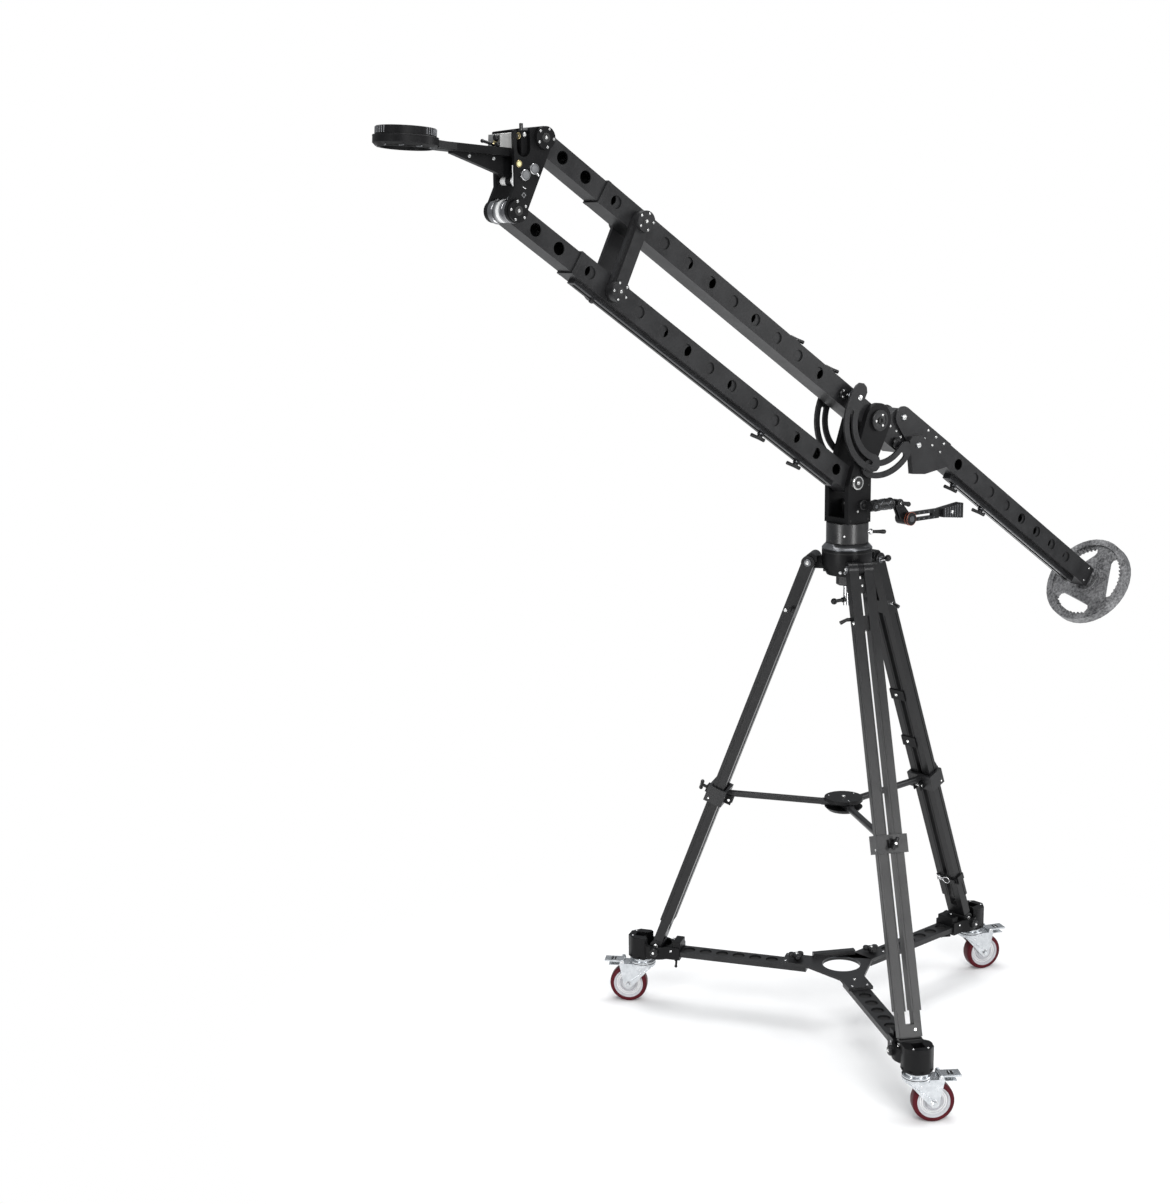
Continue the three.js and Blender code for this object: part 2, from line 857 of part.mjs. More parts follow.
function legLower() {
  const inset = railWall + gap;
  const railEnd = legLength - footPadRadius - gap;
  const start = railEnd - lowerRailLength;
  const rails = [-1, 1].map((side) => legRail(side, start, railEnd, inset));
  const cavities = [-1, 1].map((side) => {
    return legRail(side, start - overrun, railEnd - footBlockHeight, inset + lowerRailWall);
  });
  const foot = block(
    [-railDepth / 2 + inset, -railOuter + inset, -railEnd],
    [railDepth / 2 - inset, railOuter - inset, -railEnd + footBlockHeight],
  );
  const pad = rodY(footPadRadius, -railOuter + inset, railOuter - inset, 0, -legLength);
  const neck = block(
    [-railDepth / 4, -railOuter + 2 * inset, -legLength],
    [railDepth / 4, railOuter - 2 * inset, -railEnd + inset],
  );
  return join(cut(join(...rails), ...cavities), foot, pad, neck);
}

// Spreader
const collarReach = hingeRadius + (legRun * (hingeHeight - spreaderHeight)) / legDrop;

function spreaderHub() {
  const half = tongueThickness / 2 + gap;
  return turned([
    [0, spreaderHeight - half - hubDiscThickness],
    [hubDiscRadius - hubDiscThickness, spreaderHeight - half - hubDiscThickness],
    [hubDiscRadius, spreaderHeight - half],
    [hubPostRadius, spreaderHeight - half],
    [hubPostRadius, spreaderHeight + half],
    [hubDiscRadius, spreaderHeight + half],
    [hubDiscRadius, spreaderHeight + half + hubDiscThickness - gap],
    [0, spreaderHeight + half + hubDiscThickness],
  ]);
}

function spreaderArm() {
  const innerDepth = railDepth / 2 + collarSlack;
  const outerDepth = innerDepth + collarWall;
  const innerWidth = railOuter + 2 * gap;
  const half = collarHeight / 2;
  const tilt = [0, -legTilt, 0];
  const place = [collarReach, 0, spreaderHeight];
  const outerWidth = innerWidth + collarWall;
  const ring = block([-outerDepth, -outerWidth, -half], [outerDepth, outerWidth, half]);
  const hole = block([-innerDepth, -innerWidth, -2 * half], [innerDepth, innerWidth, 2 * half]);
  const collar = cut(ring, hole).rotate(tilt).translate(place);
  const clear = block([-innerDepth, -innerWidth, -3 * half], [innerDepth, innerWidth, 3 * half])
    .rotate(tilt).translate(place);
  const armStart = hubPostRadius + 2 * gap;
  const tongue = block(
    [armStart, -spreaderArmRadius, spreaderHeight - tongueThickness / 2],
    [tongueReach, spreaderArmRadius, spreaderHeight + tongueThickness / 2],
  );
  const tube = rodX(spreaderArmRadius, tongueReach - overrun, collarReach, 0, spreaderHeight, smallSides);
  return join(collar, cut(join(tongue, tube), clear));
}

// Pan head
function panBase() {
  const seat = crownSeatRadius - bowlSeatGap;
  const postTop = panHubTop - panPostHeadroom;
  const body = turned([
    [0, bowlFloor + bowlSeatGap], ...ballProfile(seat),
    [seat, crownTop], [seat, crownTop + gap], [panRingRadius - gap, crownTop + gap],
    [panRingRadius, panRingShoulder], [panHubRadius, panRingTop],
    [panPostRadius, panRingTop], [panPostRadius, postTop], [0, postTop],
  ]);
  const threadTop = crownShoulder + tieRodThread;
  const rodHole = rodZ(tieRodRadius + tieRodClearance, crownBottom, threadTop, 0, 0, smallSides);
  return cut(body, rodHole);
}

function panHub() {
  const bore = panPostRadius + mainAxleClearance;
  const ring = turnedRing([
    [bore, panRingTop + gap], [panHubRadius, panRingTop + gap],
    [panHubRadius, panHubTop], [bore, panHubTop],
  ]);
  const socket = rodX(lockLeverScrewRadius + screwClearance, panHubRadius - lockLeverInset - gap,
    panHubRadius + overrun, 0, lockLeverHeight, smallSides).rotate([0, 0, lockLeverAzimuth]);
  return cut(ring, socket);
}

function panLockLever() {
  const start = panHubRadius - lockLeverInset;
  const screw = rodX(lockLeverScrewRadius, start, lockLeverReach - gap, 0, lockLeverHeight, smallSides);
  const grip = rodX(lockLeverGripRadius, lockLeverGripStart, lockLeverReach, 0, lockLeverHeight, smallSides);
  return join(screw, grip);
}

// Yoke
const axleBore = mainAxleRadius + mainAxleClearance;

function yoke() {
  const half = yokeLength / 2;
  const head = bandRound([
    [upperPivotX, upperPivotZ, yokeHeadRadius],
    [-half + gap, yokeShoulder, gap],
    [half - gap, yokeRearShoulder, gap],
  ], 2 * mediumSides);
  const foot = outline([
    [-half, yokeBottom], [half, yokeBottom], [half, yokeRearShoulder], [-half, yokeShoulder],
  ]);
  const inner = yokeHalfWidth - yokePlateThickness;
  const sides = [-yokeHalfWidth, inner].map((y) => {
    return join(plateY(head, y, y + yokePlateThickness), plateY(foot, y, y + yokePlateThickness));
  });
  const baseTop = yokeBottom + yokeBaseThickness;
  const base = block([-half, -yokeHalfWidth, yokeBottom], [half, yokeHalfWidth, baseTop]);
  const web = block([webOffset - webThickness / 2, -yokeHalfWidth, yokeBottom],
    [webOffset + webThickness / 2, yokeHalfWidth, webTop]);
  const wide = 2 * yokeHalfWidth;
  const upperBore = rodY(axleBore, -wide, wide, upperPivotX, upperPivotZ);
  const lowerBore = rodY(axleBore, -wide, wide, lowerPivotX, lowerPivotZ);
  return cut(join(...sides, base, web), upperBore, lowerBore);
}

function mainAxle(x, z, radius) {
  const inner = yokeHalfWidth + gap;
  const outer = inner + axleCapThickness;
  const pin = rodY(mainAxleRadius, -outer, outer, x, z);
  const caps = [[-outer, -inner], [inner, outer]].map(([from, to]) => {
    return rodY(radius, from, to, x, z, roundSides);
  });
  return join(pin, ...caps);
}

// Boom: X runs down the boom towards the counterweight, and Z is square to it
function tubeSection(size, wall, from, to) {
  const half = size / 2;
  const inner = half - wall;
  const outside = block([from, -half, -half], [to, half, half]);
  const inside = block([from - overrun, -inner, -inner], [to + overrun, inner, inner]);
  return { outside, inside };
}

function sideHoles(places, sides) {
  return places.map((x) => rodY(holeRadius, -outerTube, outerTube, x, 0, sides));
}

function evenPlaces(first, pitch, count) {
  return Array.from({ length: count }, (_, i) => first + i * pitch);
}

// The outer beams' holes, leaving out the one where the middle link's pivot stands
function beamHoles(count) {
  const places = evenPlaces(-outerHoleLast, outerHolePitch, count);
  return sideHoles(places.filter((x) => Math.abs(x + linkReach) > holeRadius), holeSides);
}

function stubPins(x, z, from, to) {
  return [[-to, -from], [from, to]].map(([a, b]) => rodY(stubRadius, a, b, x, z));
}

function upperBeam() {
  const { outside, inside } = tubeSection(outerTube, tubeWall, -outerReach, upperTail);
  const holes = beamHoles(upperHoleCount);
  const slot = block([-slotEnd, -slotWidth / 2, 0], [-slotStart, slotWidth / 2, outerTube]);
  const tube = cut(outside, inside, ...holes, slot);
  const stubs = stubPins(-linkReach, 0, outerTube / 2 - tubeWall / 2, linkInner + linkThickness - 2 * gap);
  const inner = outerTube / 2;
  const tail = plateY(bandRound([
    [axleCapRadius * 2, 0, inner - gap],
    [axleCapRadius * 2 + gap, endBlockRise, gap],
    [hingeBoltReach, hingeBoltRise, hingePlateRadius - overrun],
    [endBlockReach - hingePlateRadius, rearOffset / 2, gap],
    [endBlockReach - 2 * inner, -inner + 2 * gap, gap],
  ]), -inner + gap, inner - gap);
  const rearTubeRoom = block(
    [rearStart - gap, -outerTube, rearOffset - inner - gap],
    [rearEnd, outerTube, rearOffset + outerTube],
  );
  const bore = rodY(axleBore, -outerTube, outerTube, 0, 0);
  return cut(join(tube, ...stubs, cut(tail, rearTubeRoom)), bore);
}

function innerTubeBody() {
  const { outside, inside } = tubeSection(innerTube, tubeWall, -boomLength, -innerTail);
  const holes = sideHoles(evenPlaces(-innerHoleLast, innerHolePitch, innerHoleCount), innerHoleSides);
  const barrelHalf = headPlateInner - gap;
  const barrel = rodY(barrelRadius, -barrelHalf, barrelHalf, -boomLength, 0, roundSides);
  const tube = cut(outside, inside, ...holes);
  const stubs = stubPins(-boomLength, 0, barrelHalf - gap, headPlateInner + headPlateThickness - gap);
  return join(tube, barrel, ...stubs);
}

// Sockets for the two clamp screws, in the tube wall on the side that the screws face
function innerTubeWithSockets(side) {
  const sockets = [frontLeverReach, rearLeverReach].map((reach) => {
    const from = side > 0 ? 0 : -outerTube;
    return rodZ(leverPocketRadius, from, from + outerTube, -reach, 0, smallSides);
  });
  return cut(innerTubeBody(), ...sockets);
}

function lowerBeam() {
  const half = outerTube / 2;
  const { outside, inside } = tubeSection(outerTube, tubeWall, -outerReach, 0);
  const holes = beamHoles(lowerHoleCount);
  const inner = half - tubeWall;
  const tailRoom = block([-outerTube, -inner, -inner], [-mainAxleRadius - tubeWall, inner, inner]);
  const tail = cut(rodY(lowerTail, -half, half, 0, 0, roundSides), tailRoom);
  const strip = block([-slotEnd, -railStripWidth / 2, -half - railStripHeight],
    [-slotStart, railStripWidth / 2, -half + tubeWall / 2]);
  const slot = block([-slotEnd + slotWidth, -slotWidth / 2, -outerTube],
    [-slotStart - slotWidth, slotWidth / 2, 0]);
  const bore = rodY(axleBore, -outerTube, outerTube, 0, 0);
  const stubs = stubPins(-linkReach, 0, half - tubeWall / 2, linkInner + linkThickness - 2 * gap);
  const tube = cut(outside, inside);
  return join(cut(join(tube, tail, strip), ...holes, slot, bore), ...stubs);
}

// A side plate that joins the two beams, hung on their stubs; side is -1 near, 1 far
function midLink(side, upper, lower) {
  const inner = linkInner;
  const outer = linkInner + linkThickness;
  const place = (a, b) => (side > 0 ? [a, b] : [-b, -a]);
  const shape = bandRound([[upper.x, upper.z, linkHeadRadius], [lower.x, lower.z, linkHeadRadius]]);
  const core = bandRound([
    [upper.x, upper.z, linkHeadRadius - linkBevel],
    [lower.x, lower.z, linkHeadRadius - linkBevel],
  ]);
  const layers = [
    plateY(shape, ...place(inner, outer - linkBevel)),
    plateY(core, ...place(outer - linkBevel - gap, outer)),
  ];
  const caps = [upper, lower].map(({ x, z }) => {
    return rodY(capRadius, ...place(outer - linkBevel, outer + capThickness), x, z, roundSides);
  });
  const bores = [upper, lower].map(({ x, z }) => {
    return rodY(stubRadius + stubClearance, ...place(inner - overrun, outer - gap), x, z);
  });
  return cut(join(...layers, ...caps), ...bores);
}

// Slotted quadrant bolted to the upper beam's side; side is -1 near, 1 far
function tiltArc(side) {
  const outer = arcInnerFace + arcThickness;
  const place = (a, b) => (side > 0 ? [a, b] : [-b, -a]);
  const shape = arcBand(arcInnerRadius, arcOuterRadius, arcStartAngle, arcEndAngle);
  const half = arcSlotWidth / 2;
  const slot = arcBand(arcSlotRadius - half, arcSlotRadius + half, arcSlotStartAngle, arcSlotEndAngle);
  const band = cut(
    plateY(shape, ...place(arcInnerFace, outer)),
    plateY(slot, ...place(arcInnerFace - overrun, outer + overrun)),
  );
  const boss = rodY(arcBossRadius, ...place(outerTube / 2 + gap, arcInnerFace + gap), -arcBossReach,
    arcBossRise, smallSides);
  return join(band, boss);
}

// Levelling head: X and Z are measured from the upper front pivot
function headBracket(lower) {
  const corner = headCornerRadius;
  const upperShape = bandRound([
    [0, 0, headUpperRadius],
    [-headTopCorner + corner, headTopRise - corner, corner],
    [-headTopCorner + corner, -headFrontDrop + corner, corner],
  ]);
  const lowerShape = bandRound([[0, 0, headUpperRadius], [lower.x, lower.z, headLowerRadius]]);
  const outer = headPlateInner + headPlateThickness;
  const plates = [[-outer, -headPlateInner], [headPlateInner, outer]].flatMap(([from, to]) => {
    return [plateY(upperShape, from, to), plateY(lowerShape, from, to)];
  });
  const pivots = [{ x: 0, z: 0 }, lower];
  const caps = pivots.flatMap(({ x, z }) => [
    rodY(capRadius, -outer - capThickness, -outer + gap, x, z, roundSides),
    rodY(capRadius, outer - gap, outer + capThickness, x, z, roundSides),
  ]);
  const bores = pivots.map(({ x, z }) => rodY(stubRadius + stubClearance, -outer, outer, x, z));
  const cross = block(
    [-crossBlockFront, -outer + gap, crossBlockBottom],
    [-crossBlockRear, outer - gap, crossBlockTop],
  );
  const pin = rodY(tiltPinRadius, -outer + gap, outer - gap, -tiltPinReach, -tiltPinDrop);
  const screwHole = rodX(clampScrewRadius + screwClearance, -crossBlockFront - overrun,
    -crossBlockRear + overrun, 0, clampScrewRise, smallSides);
  return cut(join(cut(join(...plates, ...caps), ...bores), cross, pin), screwHole);
}

// Camera arm: X and Z are measured from the tilt pin, and the arm runs along -X
function cameraArm() {
  const deckBottom = cameraDeckRise - cameraDeckThickness;
  const deck = plateZ(outline([
    [-cameraReach, -cameraNeckWidth / 2], [-cameraDeckRear, -cameraTailWidth / 2],
    [-cameraDeckRear, cameraTailWidth / 2], [-cameraReach, cameraNeckWidth / 2],
  ]), deckBottom, cameraDeckRise);
  const flangeTop = cameraDeckRise + bowlFlangeStep;
  const flangeBottom = flangeTop - bowlFlangeHeight;
  const bowl = turned([
    [0, flangeBottom], [bowlFlangeRadius - bowlChamfer, flangeBottom],
    [bowlFlangeRadius, flangeBottom + bowlChamfer], [bowlFlangeRadius, flangeTop],
    [bowlRimRadius, flangeTop], [bowlRimRadius, flangeTop + bowlRimHeight], [0, flangeTop + bowlRimHeight],
  ], plateSides).translate([-cameraReach, 0, 0]);
  const bore = rodZ(bowlBoreRadius, flangeBottom - overrun, flangeTop + bowlRimHeight + overrun,
    -cameraReach, 0, plateSides);
  const barrel = rodY(tiltBarrelRadius, -tiltBarrelHalf, tiltBarrelHalf, 0, 0);
  const gusset = plateY(outline([
    [-gussetReach, deckBottom + gap], [-gussetReach, deckBottom - gussetFrontHeight],
    [-gussetKneeReach, gussetKneeRise], [-gussetHeelReach, gussetHeelRise],
    [-gussetRear, gussetHeelRise], [-gussetRear, deckBottom + gap],
  ]), -tiltBarrelHalf, tiltBarrelHalf);
  const pinBore = rodY(tiltPinRadius + tiltPinClearance, -2 * tiltBarrelHalf, 2 * tiltBarrelHalf, 0, 0);
  return cut(join(deck, bowl, barrel, gusset), bore, pinBore);
}

// The bare block on the camera arm, whose top slopes down towards the camera
function headBlock() {
  const half = clampBlockWidth / 2;
  return plateY(outline([
    [-clampBlockFront, cameraDeckRise + gap], [-clampBlockRear, cameraDeckRise + gap],
    [-clampBlockRear, cameraDeckRise + clampBlockRearHeight],
    [-clampBlockFront, cameraDeckRise + clampBlockFrontHeight],
  ]), -half, half);
}

// Clamp screw of the levelling head: X runs along the screw towards its bar
function headTiltLever() {
  const barX = -crossBlockRear + clampScrewTail;
  const tip = -crossBlockFront - clampScrewTip;
  const screw = rodX(clampScrewRadius, tip, barX, 0, clampScrewRise, smallSides);
  const barBottom = clampScrewRise - clampBarHalf;
  const bar = rodZ(clampBarRadius, barBottom, clampScrewRise + clampBarHalf, barX, 0, smallSides);
  return join(screw, bar);
}

// Rear arm
function rearTube() {
  const half = outerTube / 2;
  const { outside, inside } = tubeSection(outerTube, tubeWall, rearStart, rearEnd);
  const holes = sideHoles(evenPlaces(rearHoleFirst, rearHolePitch, rearHoleCount), holeSides);
  const strip = block([rearStripStart, -railStripWidth / 2, -half - rearStripHeight],
    [rearStripEnd, railStripWidth / 2, -half + tubeWall / 2]);
  const slot = block([rearSlotStart, -slotWidth / 2, -outerTube], [rearSlotEnd, slotWidth / 2, 0]);
  const tube = cut(join(cut(outside, inside), strip), ...holes, slot).translate([0, 0, rearOffset]);
  const plateShape = bandRound([
    [hingeBoltReach, hingeBoltRise, hingePlateRadius],
    [hingePlateReach, rearOffset + half - gap, gap],
    [hingePlateReach, rearOffset - half + gap, gap],
    [hingePlateFootReach, hingePlateFootRise, hingePlateRadius / 2],
  ]);
  const plates = [
    [-half - hingePlateThickness, -half - gap / 2],
    [half + gap / 2, half + hingePlateThickness],
  ];
  const cheeks = plates.map(([from, to]) => plateY(plateShape, from, to));
  const ties = [[-half - gap, -half + gap], [half - gap, half + gap]].map(([from, to]) => {
    return block(
      [rearStart + outerTube, from, rearOffset - half / 2],
      [hingePlateReach - half, to, rearOffset + half / 2],
    );
  });
  return join(tube, ...cheeks, ...ties, dragQuadrant());
}

// Slotted quadrant under the rear arm, with the web that carries it
function dragQuadrant() {
  const outer = dragInnerFace + dragThickness;
  const half = outerTube / 2;
  const band = plateY(arcBand(dragInnerRadius, dragOuterRadius, dragStartAngle, dragEndAngle),
    -outer, -dragInnerFace);
  const slotHalf = dragSlotWidth / 2;
  const slot = plateY(arcBand(dragSlotRadius - slotHalf, dragSlotRadius + slotHalf, dragSlotStartAngle,
    dragSlotEndAngle), -outer - overrun, -dragInnerFace + overrun);
  const web = plateY(bandRound([
    [dragSlotRadius * Math.cos(dragSlotEndAngle * degree / 2) + half / 2, hingePlateFootRise, half / 2],
    [hingePlateFootReach + half, -2 * half, gap],
    [hingePlateReach - 2 * half, -half - hingePlateThickness, gap],
    [hingePlateReach + half / 2, rearOffset - half, gap],
    [hingePlateFootReach, rearOffset - half / 2, gap],
  ]), -outer, -half - hingePlateThickness + gap);
  return cut(join(band, web), slot);
}

function rearInnerTube() {
  const { outside, inside } = tubeSection(innerTube, tubeWall, rearInnerStart, rearEnd + endCapThickness);
  const capped = cut(inside, block([rearEnd, -outerTube, -outerTube], [2 * rearEnd, outerTube, outerTube]));
  const places = evenPlaces(rearInnerHoleFirst, innerHolePitch, rearInnerHoleCount);
  const holes = sideHoles(places, innerHoleSides);
  const spigot = rodX(spigotRadius, rearEnd, rearEnd + spigotLength, 0, 0);
  const sockets = [rearArmLeverNear, rearArmLeverFar].map((reach) => {
    return rodZ(leverPocketRadius, -outerTube, 0, reach, 0, smallSides);
  });
  return join(cut(outside, capped, ...holes, ...sockets), spigot).translate([0, 0, rearOffset]);
}

// Counterweight: turned about its own bore, with three grip openings
function counterweightPlate() {
  const half = weightThickness / 2;
  const web = weightWebThickness / 2;
  const rim = weightRadius - weightRimWidth;
  const disc = turnedRing([
    [weightBoreRadius, -half], [weightHubRadius, -half], [weightHubRadius, -web], [rim, -web],
    [rim, -half], [weightRadius, -half], [weightRadius, half],
    [rim, half], [rim, web], [weightHubRadius, web],
    [weightHubRadius, half], [weightBoreRadius, half],
  ], plateSides);
  const grips = [0, 1, 2].map((i) => {
    const angle = (i * 120 + gripAngle) * degree;
    const at = (radius, spread) => [
      radius * Math.cos(angle + spread * degree), radius * Math.sin(angle + spread * degree), gripEndRadius,
    ];
    const outerR = gripOuterRadius - gripEndRadius;
    const innerR = gripInnerRadius + gripEndRadius;
    const shape = bandRound([
      at(outerR, -gripSpan / 2), at(outerR, -gripSpan / 4), at(outerR, 0), at(outerR, gripSpan / 4),
      at(outerR, gripSpan / 2), at(innerR, -gripSpan / 4), at(innerR, gripSpan / 4),
    ], smallSides);
    return plateZ(shape, -weightThickness, weightThickness);
  });
  return cut(disc, ...grips).rotate([0, 90, 0]).translate([weightReach, 0, rearOffset]);
}

function weightRetainer() {
  const from = weightReach + weightThickness / 2 + gap;
  const to = from + retainerThickness;
  const disc = rodX(retainerRadius, from, to, 0, rearOffset, roundSides);
  const bore = rodX(spigotRadius + stubClearance, from - overrun, to + overrun, 0, rearOffset);
  return cut(disc, bore);
}

// Lock lever: a screw, a collar outside the beam, and a cross bar
function lockLever(reach, side, collarFrom, rise) {
  const place = (a, b) => (side > 0 ? [a, b] : [-b, -a]);
  const tip = innerTube / 2 - tubeWall / 2;
  const barCentre = collarFrom + leverCollarHeight;
  const screw = rodZ(leverScrewRadius, ...place(tip, barCentre), reach, 0, smallSides);
  const collar = rodZ(leverCollarRadius, ...place(collarFrom, barCentre), reach, 0, smallSides);
  const half = leverBarLength / 2;
  const bar = rodX(leverBarRadius, reach - half, reach + half, 0, side * barCentre, smallSides);
  return join(screw, collar, bar).translate([0, 0, rise]);
}

// Monitor arm: its fixed part ends in a tongue with the hinge pin
const monitorHingeX = monitorRootX + monitorBaseLength;

function monitorArmBase() {
  const y = monitorY;
  const z = monitorRootZ;
  const half = monitorTongueThickness / 2;
  const pinHalf = half + monitorCheekThickness;
  const barEnd = monitorHingeX - monitorHingeRoom;
  const socket = rodY(monitorSocketRadius, y, -yokeHalfWidth - gap, monitorRootX, z);
  const bar = rodX(monitorBaseRadius, monitorRootX - monitorSocketRadius, barEnd, y, z);
  const tongue = plateY(bandRound([
    [monitorHingeX, z, monitorTongueRadius], [barEnd - overrun, z, monitorTongueRadius],
  ]), y - half, y + half);
  const pin = rodY(monitorPinRadius, y - pinHalf, y + pinHalf, monitorHingeX, z, smallSides);
  return join(socket, bar, tongue, pin);
}

// The hinged part of the monitor arm, with its elbow knob, slotted bar and clamp head
function monitorArmLink() {
  const y = monitorY;
  const elbowX = monitorHingeX + monitorElbowReach;
  const elbowZ = monitorRootZ - monitorElbowDrop;
  const inner = monitorTongueThickness / 2 + gap;
  const outer = inner + monitorCheekThickness;
  const strutShape = bandRound([
    [monitorHingeX, monitorRootZ, monitorTongueRadius], [elbowX, elbowZ, monitorElbowRadius - gap],
  ]);
  const cheeks = [y - outer, y + inner].map((from) => {
    return plateY(strutShape, from, from + monitorCheekThickness);
  });
  const pinBore = rodY(monitorPinRadius + monitorPinClearance, y - 2 * outer, y + 2 * outer,
    monitorHingeX, monitorRootZ, smallSides);
  const knob = rodY(monitorElbowRadius, y - monitorElbowRadius, y + monitorElbowRadius, elbowX, elbowZ);
  const armStart = elbowX + monitorElbowRadius;
  const armEnd = armStart + monitorArmLength;
  const armHalf = monitorArmWidth / 2;
  const half = monitorArmThickness / 2;
  const arm = block([elbowX, y - half, elbowZ - armHalf], [armEnd, y + half, elbowZ + armHalf]);
  const slot = block(
    [armStart + armHalf, y - 2 * half, elbowZ - monitorSlotWidth / 2],
    [armEnd - monitorArmWidth, y + 2 * half, elbowZ + monitorSlotWidth / 2],
  );
  const headStart = armEnd + monitorNeckLength;
  const headEnd = headStart + monitorHeadLength;
  const wide = monitorHeadWidth / 2;
  const waist = monitorHeadWaist / 2;
  const depth = monitorHeadThickness / 2;
  const neck = rodX(monitorNeckRadius, armEnd - overrun, headStart + overrun, y, elbowZ, smallSides);
  const head = plateY(outline([
    [headStart, elbowZ - waist], [headEnd, elbowZ - wide],
    [headEnd, elbowZ + wide], [headStart, elbowZ + waist],
  ]), y - depth, y + depth);
  return cut(join(cut(join(...cheeks, knob, arm), slot), neck, head), pinBore);
}

// Assembly
const crane = new THREE.Group();
const arms = { front: frontArmAzimuth, right: rightArmAzimuth, left: leftArmAzimuth };
const headings = { front: frontCasterHeading, right: rightCasterHeading, left: leftCasterHeading };

addPiece(crane, 'dolly_plate', dollyPlate(), blackAnodised());
for (const [place, azimuth] of Object.entries(arms)) {
  const arm = facing(groupAt(crane, 0, 0, 0), azimuth);
  addPiece(arm, `dolly_arm_${place}`, dollyArm(), blackAnodised());
  addPiece(arm, `leg_cup_${place}`, legCup(), blackCasting());
  const caster = facing(groupAt(arm, casterReach, 0, 0), headings[place] - azimuth);
  addPiece(caster, `caster_fork_${place}`, casterFork(), brightZinc());
  const wheel = groupAt(caster, casterTrail, 0, wheelRadius);
  addPiece(wheel, `caster_wheel_${place}`, casterWheel(), redTyre());
  addPiece(caster, `brake_pedal_${place}`, brakePedal(), brightZinc());
  const leg = leaning(groupAt(arm, hingeRadius, 0, hingeHeight), -legTilt);
  addPiece(leg, `leg_upper_${place}`, legUpper(place === 'right'), blackAnodised());
  addPiece(leg, `leg_lower_${place}`, legLower(), blackAnodised());
  addPiece(arm, `spreader_arm_${place}`, spreaderArm(), blackAnodised());
}
for (const place of ['left', 'right']) {
  const arm = facing(groupAt(crane, 0, 0, 0), arms[place]);
  const knob = groupAt(arm, knobReach, 0, 0);
  addPiece(knob, `dolly_knob_${place}`, dollyKnob(), blackPlastic());
}
addPiece(crane, 'spreader_hub', spreaderHub(), blackCasting());
addPiece(crane, 'tripod_crown', tripodCrown(), blackCasting());
addPiece(crane, 'tie_down_handle', tieDownHandle(), polishedSteel());
addPiece(crane, 'pan_base', panBase(), blackAnodised());
addPiece(crane, 'pan_hub', panHub(), blackAnodised());
const lever = facing(groupAt(crane, 0, 0, 0), lockLeverAzimuth);
addPiece(lever, 'pan_lock_lever', panLockLever(), blackPlastic());
addPiece(crane, 'yoke', yoke(), blackAnodised());
addPiece(crane, 'upper_axle', mainAxle(upperPivotX, upperPivotZ, axleCapRadius), blackAnodised());
addPiece(crane, 'lower_axle', mainAxle(lowerPivotX, lowerPivotZ, lowerCapRadius), polishedSteel());

const upperBoom = leaning(groupAt(crane, upperPivotX, 0, upperPivotZ), boomElevation);
const lowerBoom = leaning(groupAt(crane, lowerPivotX, 0, lowerPivotZ), boomElevation);
const upperCollarFrom = outerTube / 2 + 2 * gap;
const lowerCollarFrom = outerTube / 2 + railStripHeight + 2 * gap;
const rearCollarFrom = outerTube / 2 + rearStripHeight + 2 * gap;
addPiece(upperBoom, 'upper_beam', upperBeam(), blackAnodised());
addPiece(upperBoom, 'upper_inner_tube', innerTubeWithSockets(1), blackAnodised());
addPiece(lowerBoom, 'lower_beam', lowerBeam(), blackAnodised());
addPiece(lowerBoom, 'lower_inner_tube', innerTubeWithSockets(-1), blackAnodised());
[frontLeverReach, rearLeverReach].forEach((reach, i) => {
  const end = ['front', 'rear'][i];
  addPiece(upperBoom, `upper_lock_lever_${end}`, lockLever(-reach, 1, upperCollarFrom, 0), blackPlastic());
  addPiece(lowerBoom, `lower_lock_lever_${end}`, lockLever(-reach, -1, lowerCollarFrom, 0), blackPlastic());
});
[rearArmLeverNear, rearArmLeverFar].forEach((reach, i) => {
  const name = `weight_arm_lock_lever_${['front', 'rear'][i]}`;
  addPiece(upperBoom, name, lockLever(reach, -1, rearCollarFrom, rearOffset), blackPlastic());
});
addPiece(upperBoom, 'tilt_arc_near', tiltArc(-1), blackAnodised());
addPiece(upperBoom, 'tilt_arc_far', tiltArc(1), blackAnodised());
addPiece(upperBoom, 'rear_tube', rearTube(), blackAnodised());
addPiece(upperBoom, 'rear_inner_tube', rearInnerTube(), blackAnodised());
addPiece(upperBoom, 'counterweight_plate', counterweightPlate(), hammeredIron());
addPiece(upperBoom, 'weight_retainer', weightRetainer(), polishedSteel());

// A place on a beam's centre line, in floor coordinates
function alongBoom(pivotX, pivotZ, reach) {
  const angle = boomElevation * degree;
  return { x: pivotX - reach * Math.cos(angle), z: pivotZ + reach * Math.sin(angle) };
}

const linkUpper = alongBoom(upperPivotX, upperPivotZ, linkReach);
const linkLower = alongBoom(lowerPivotX, lowerPivotZ, linkReach);
addPiece(crane, 'mid_link_near', midLink(-1, linkUpper, linkLower), blackAnodised());
addPiece(crane, 'mid_link_far', midLink(1, linkUpper, linkLower), blackAnodised());

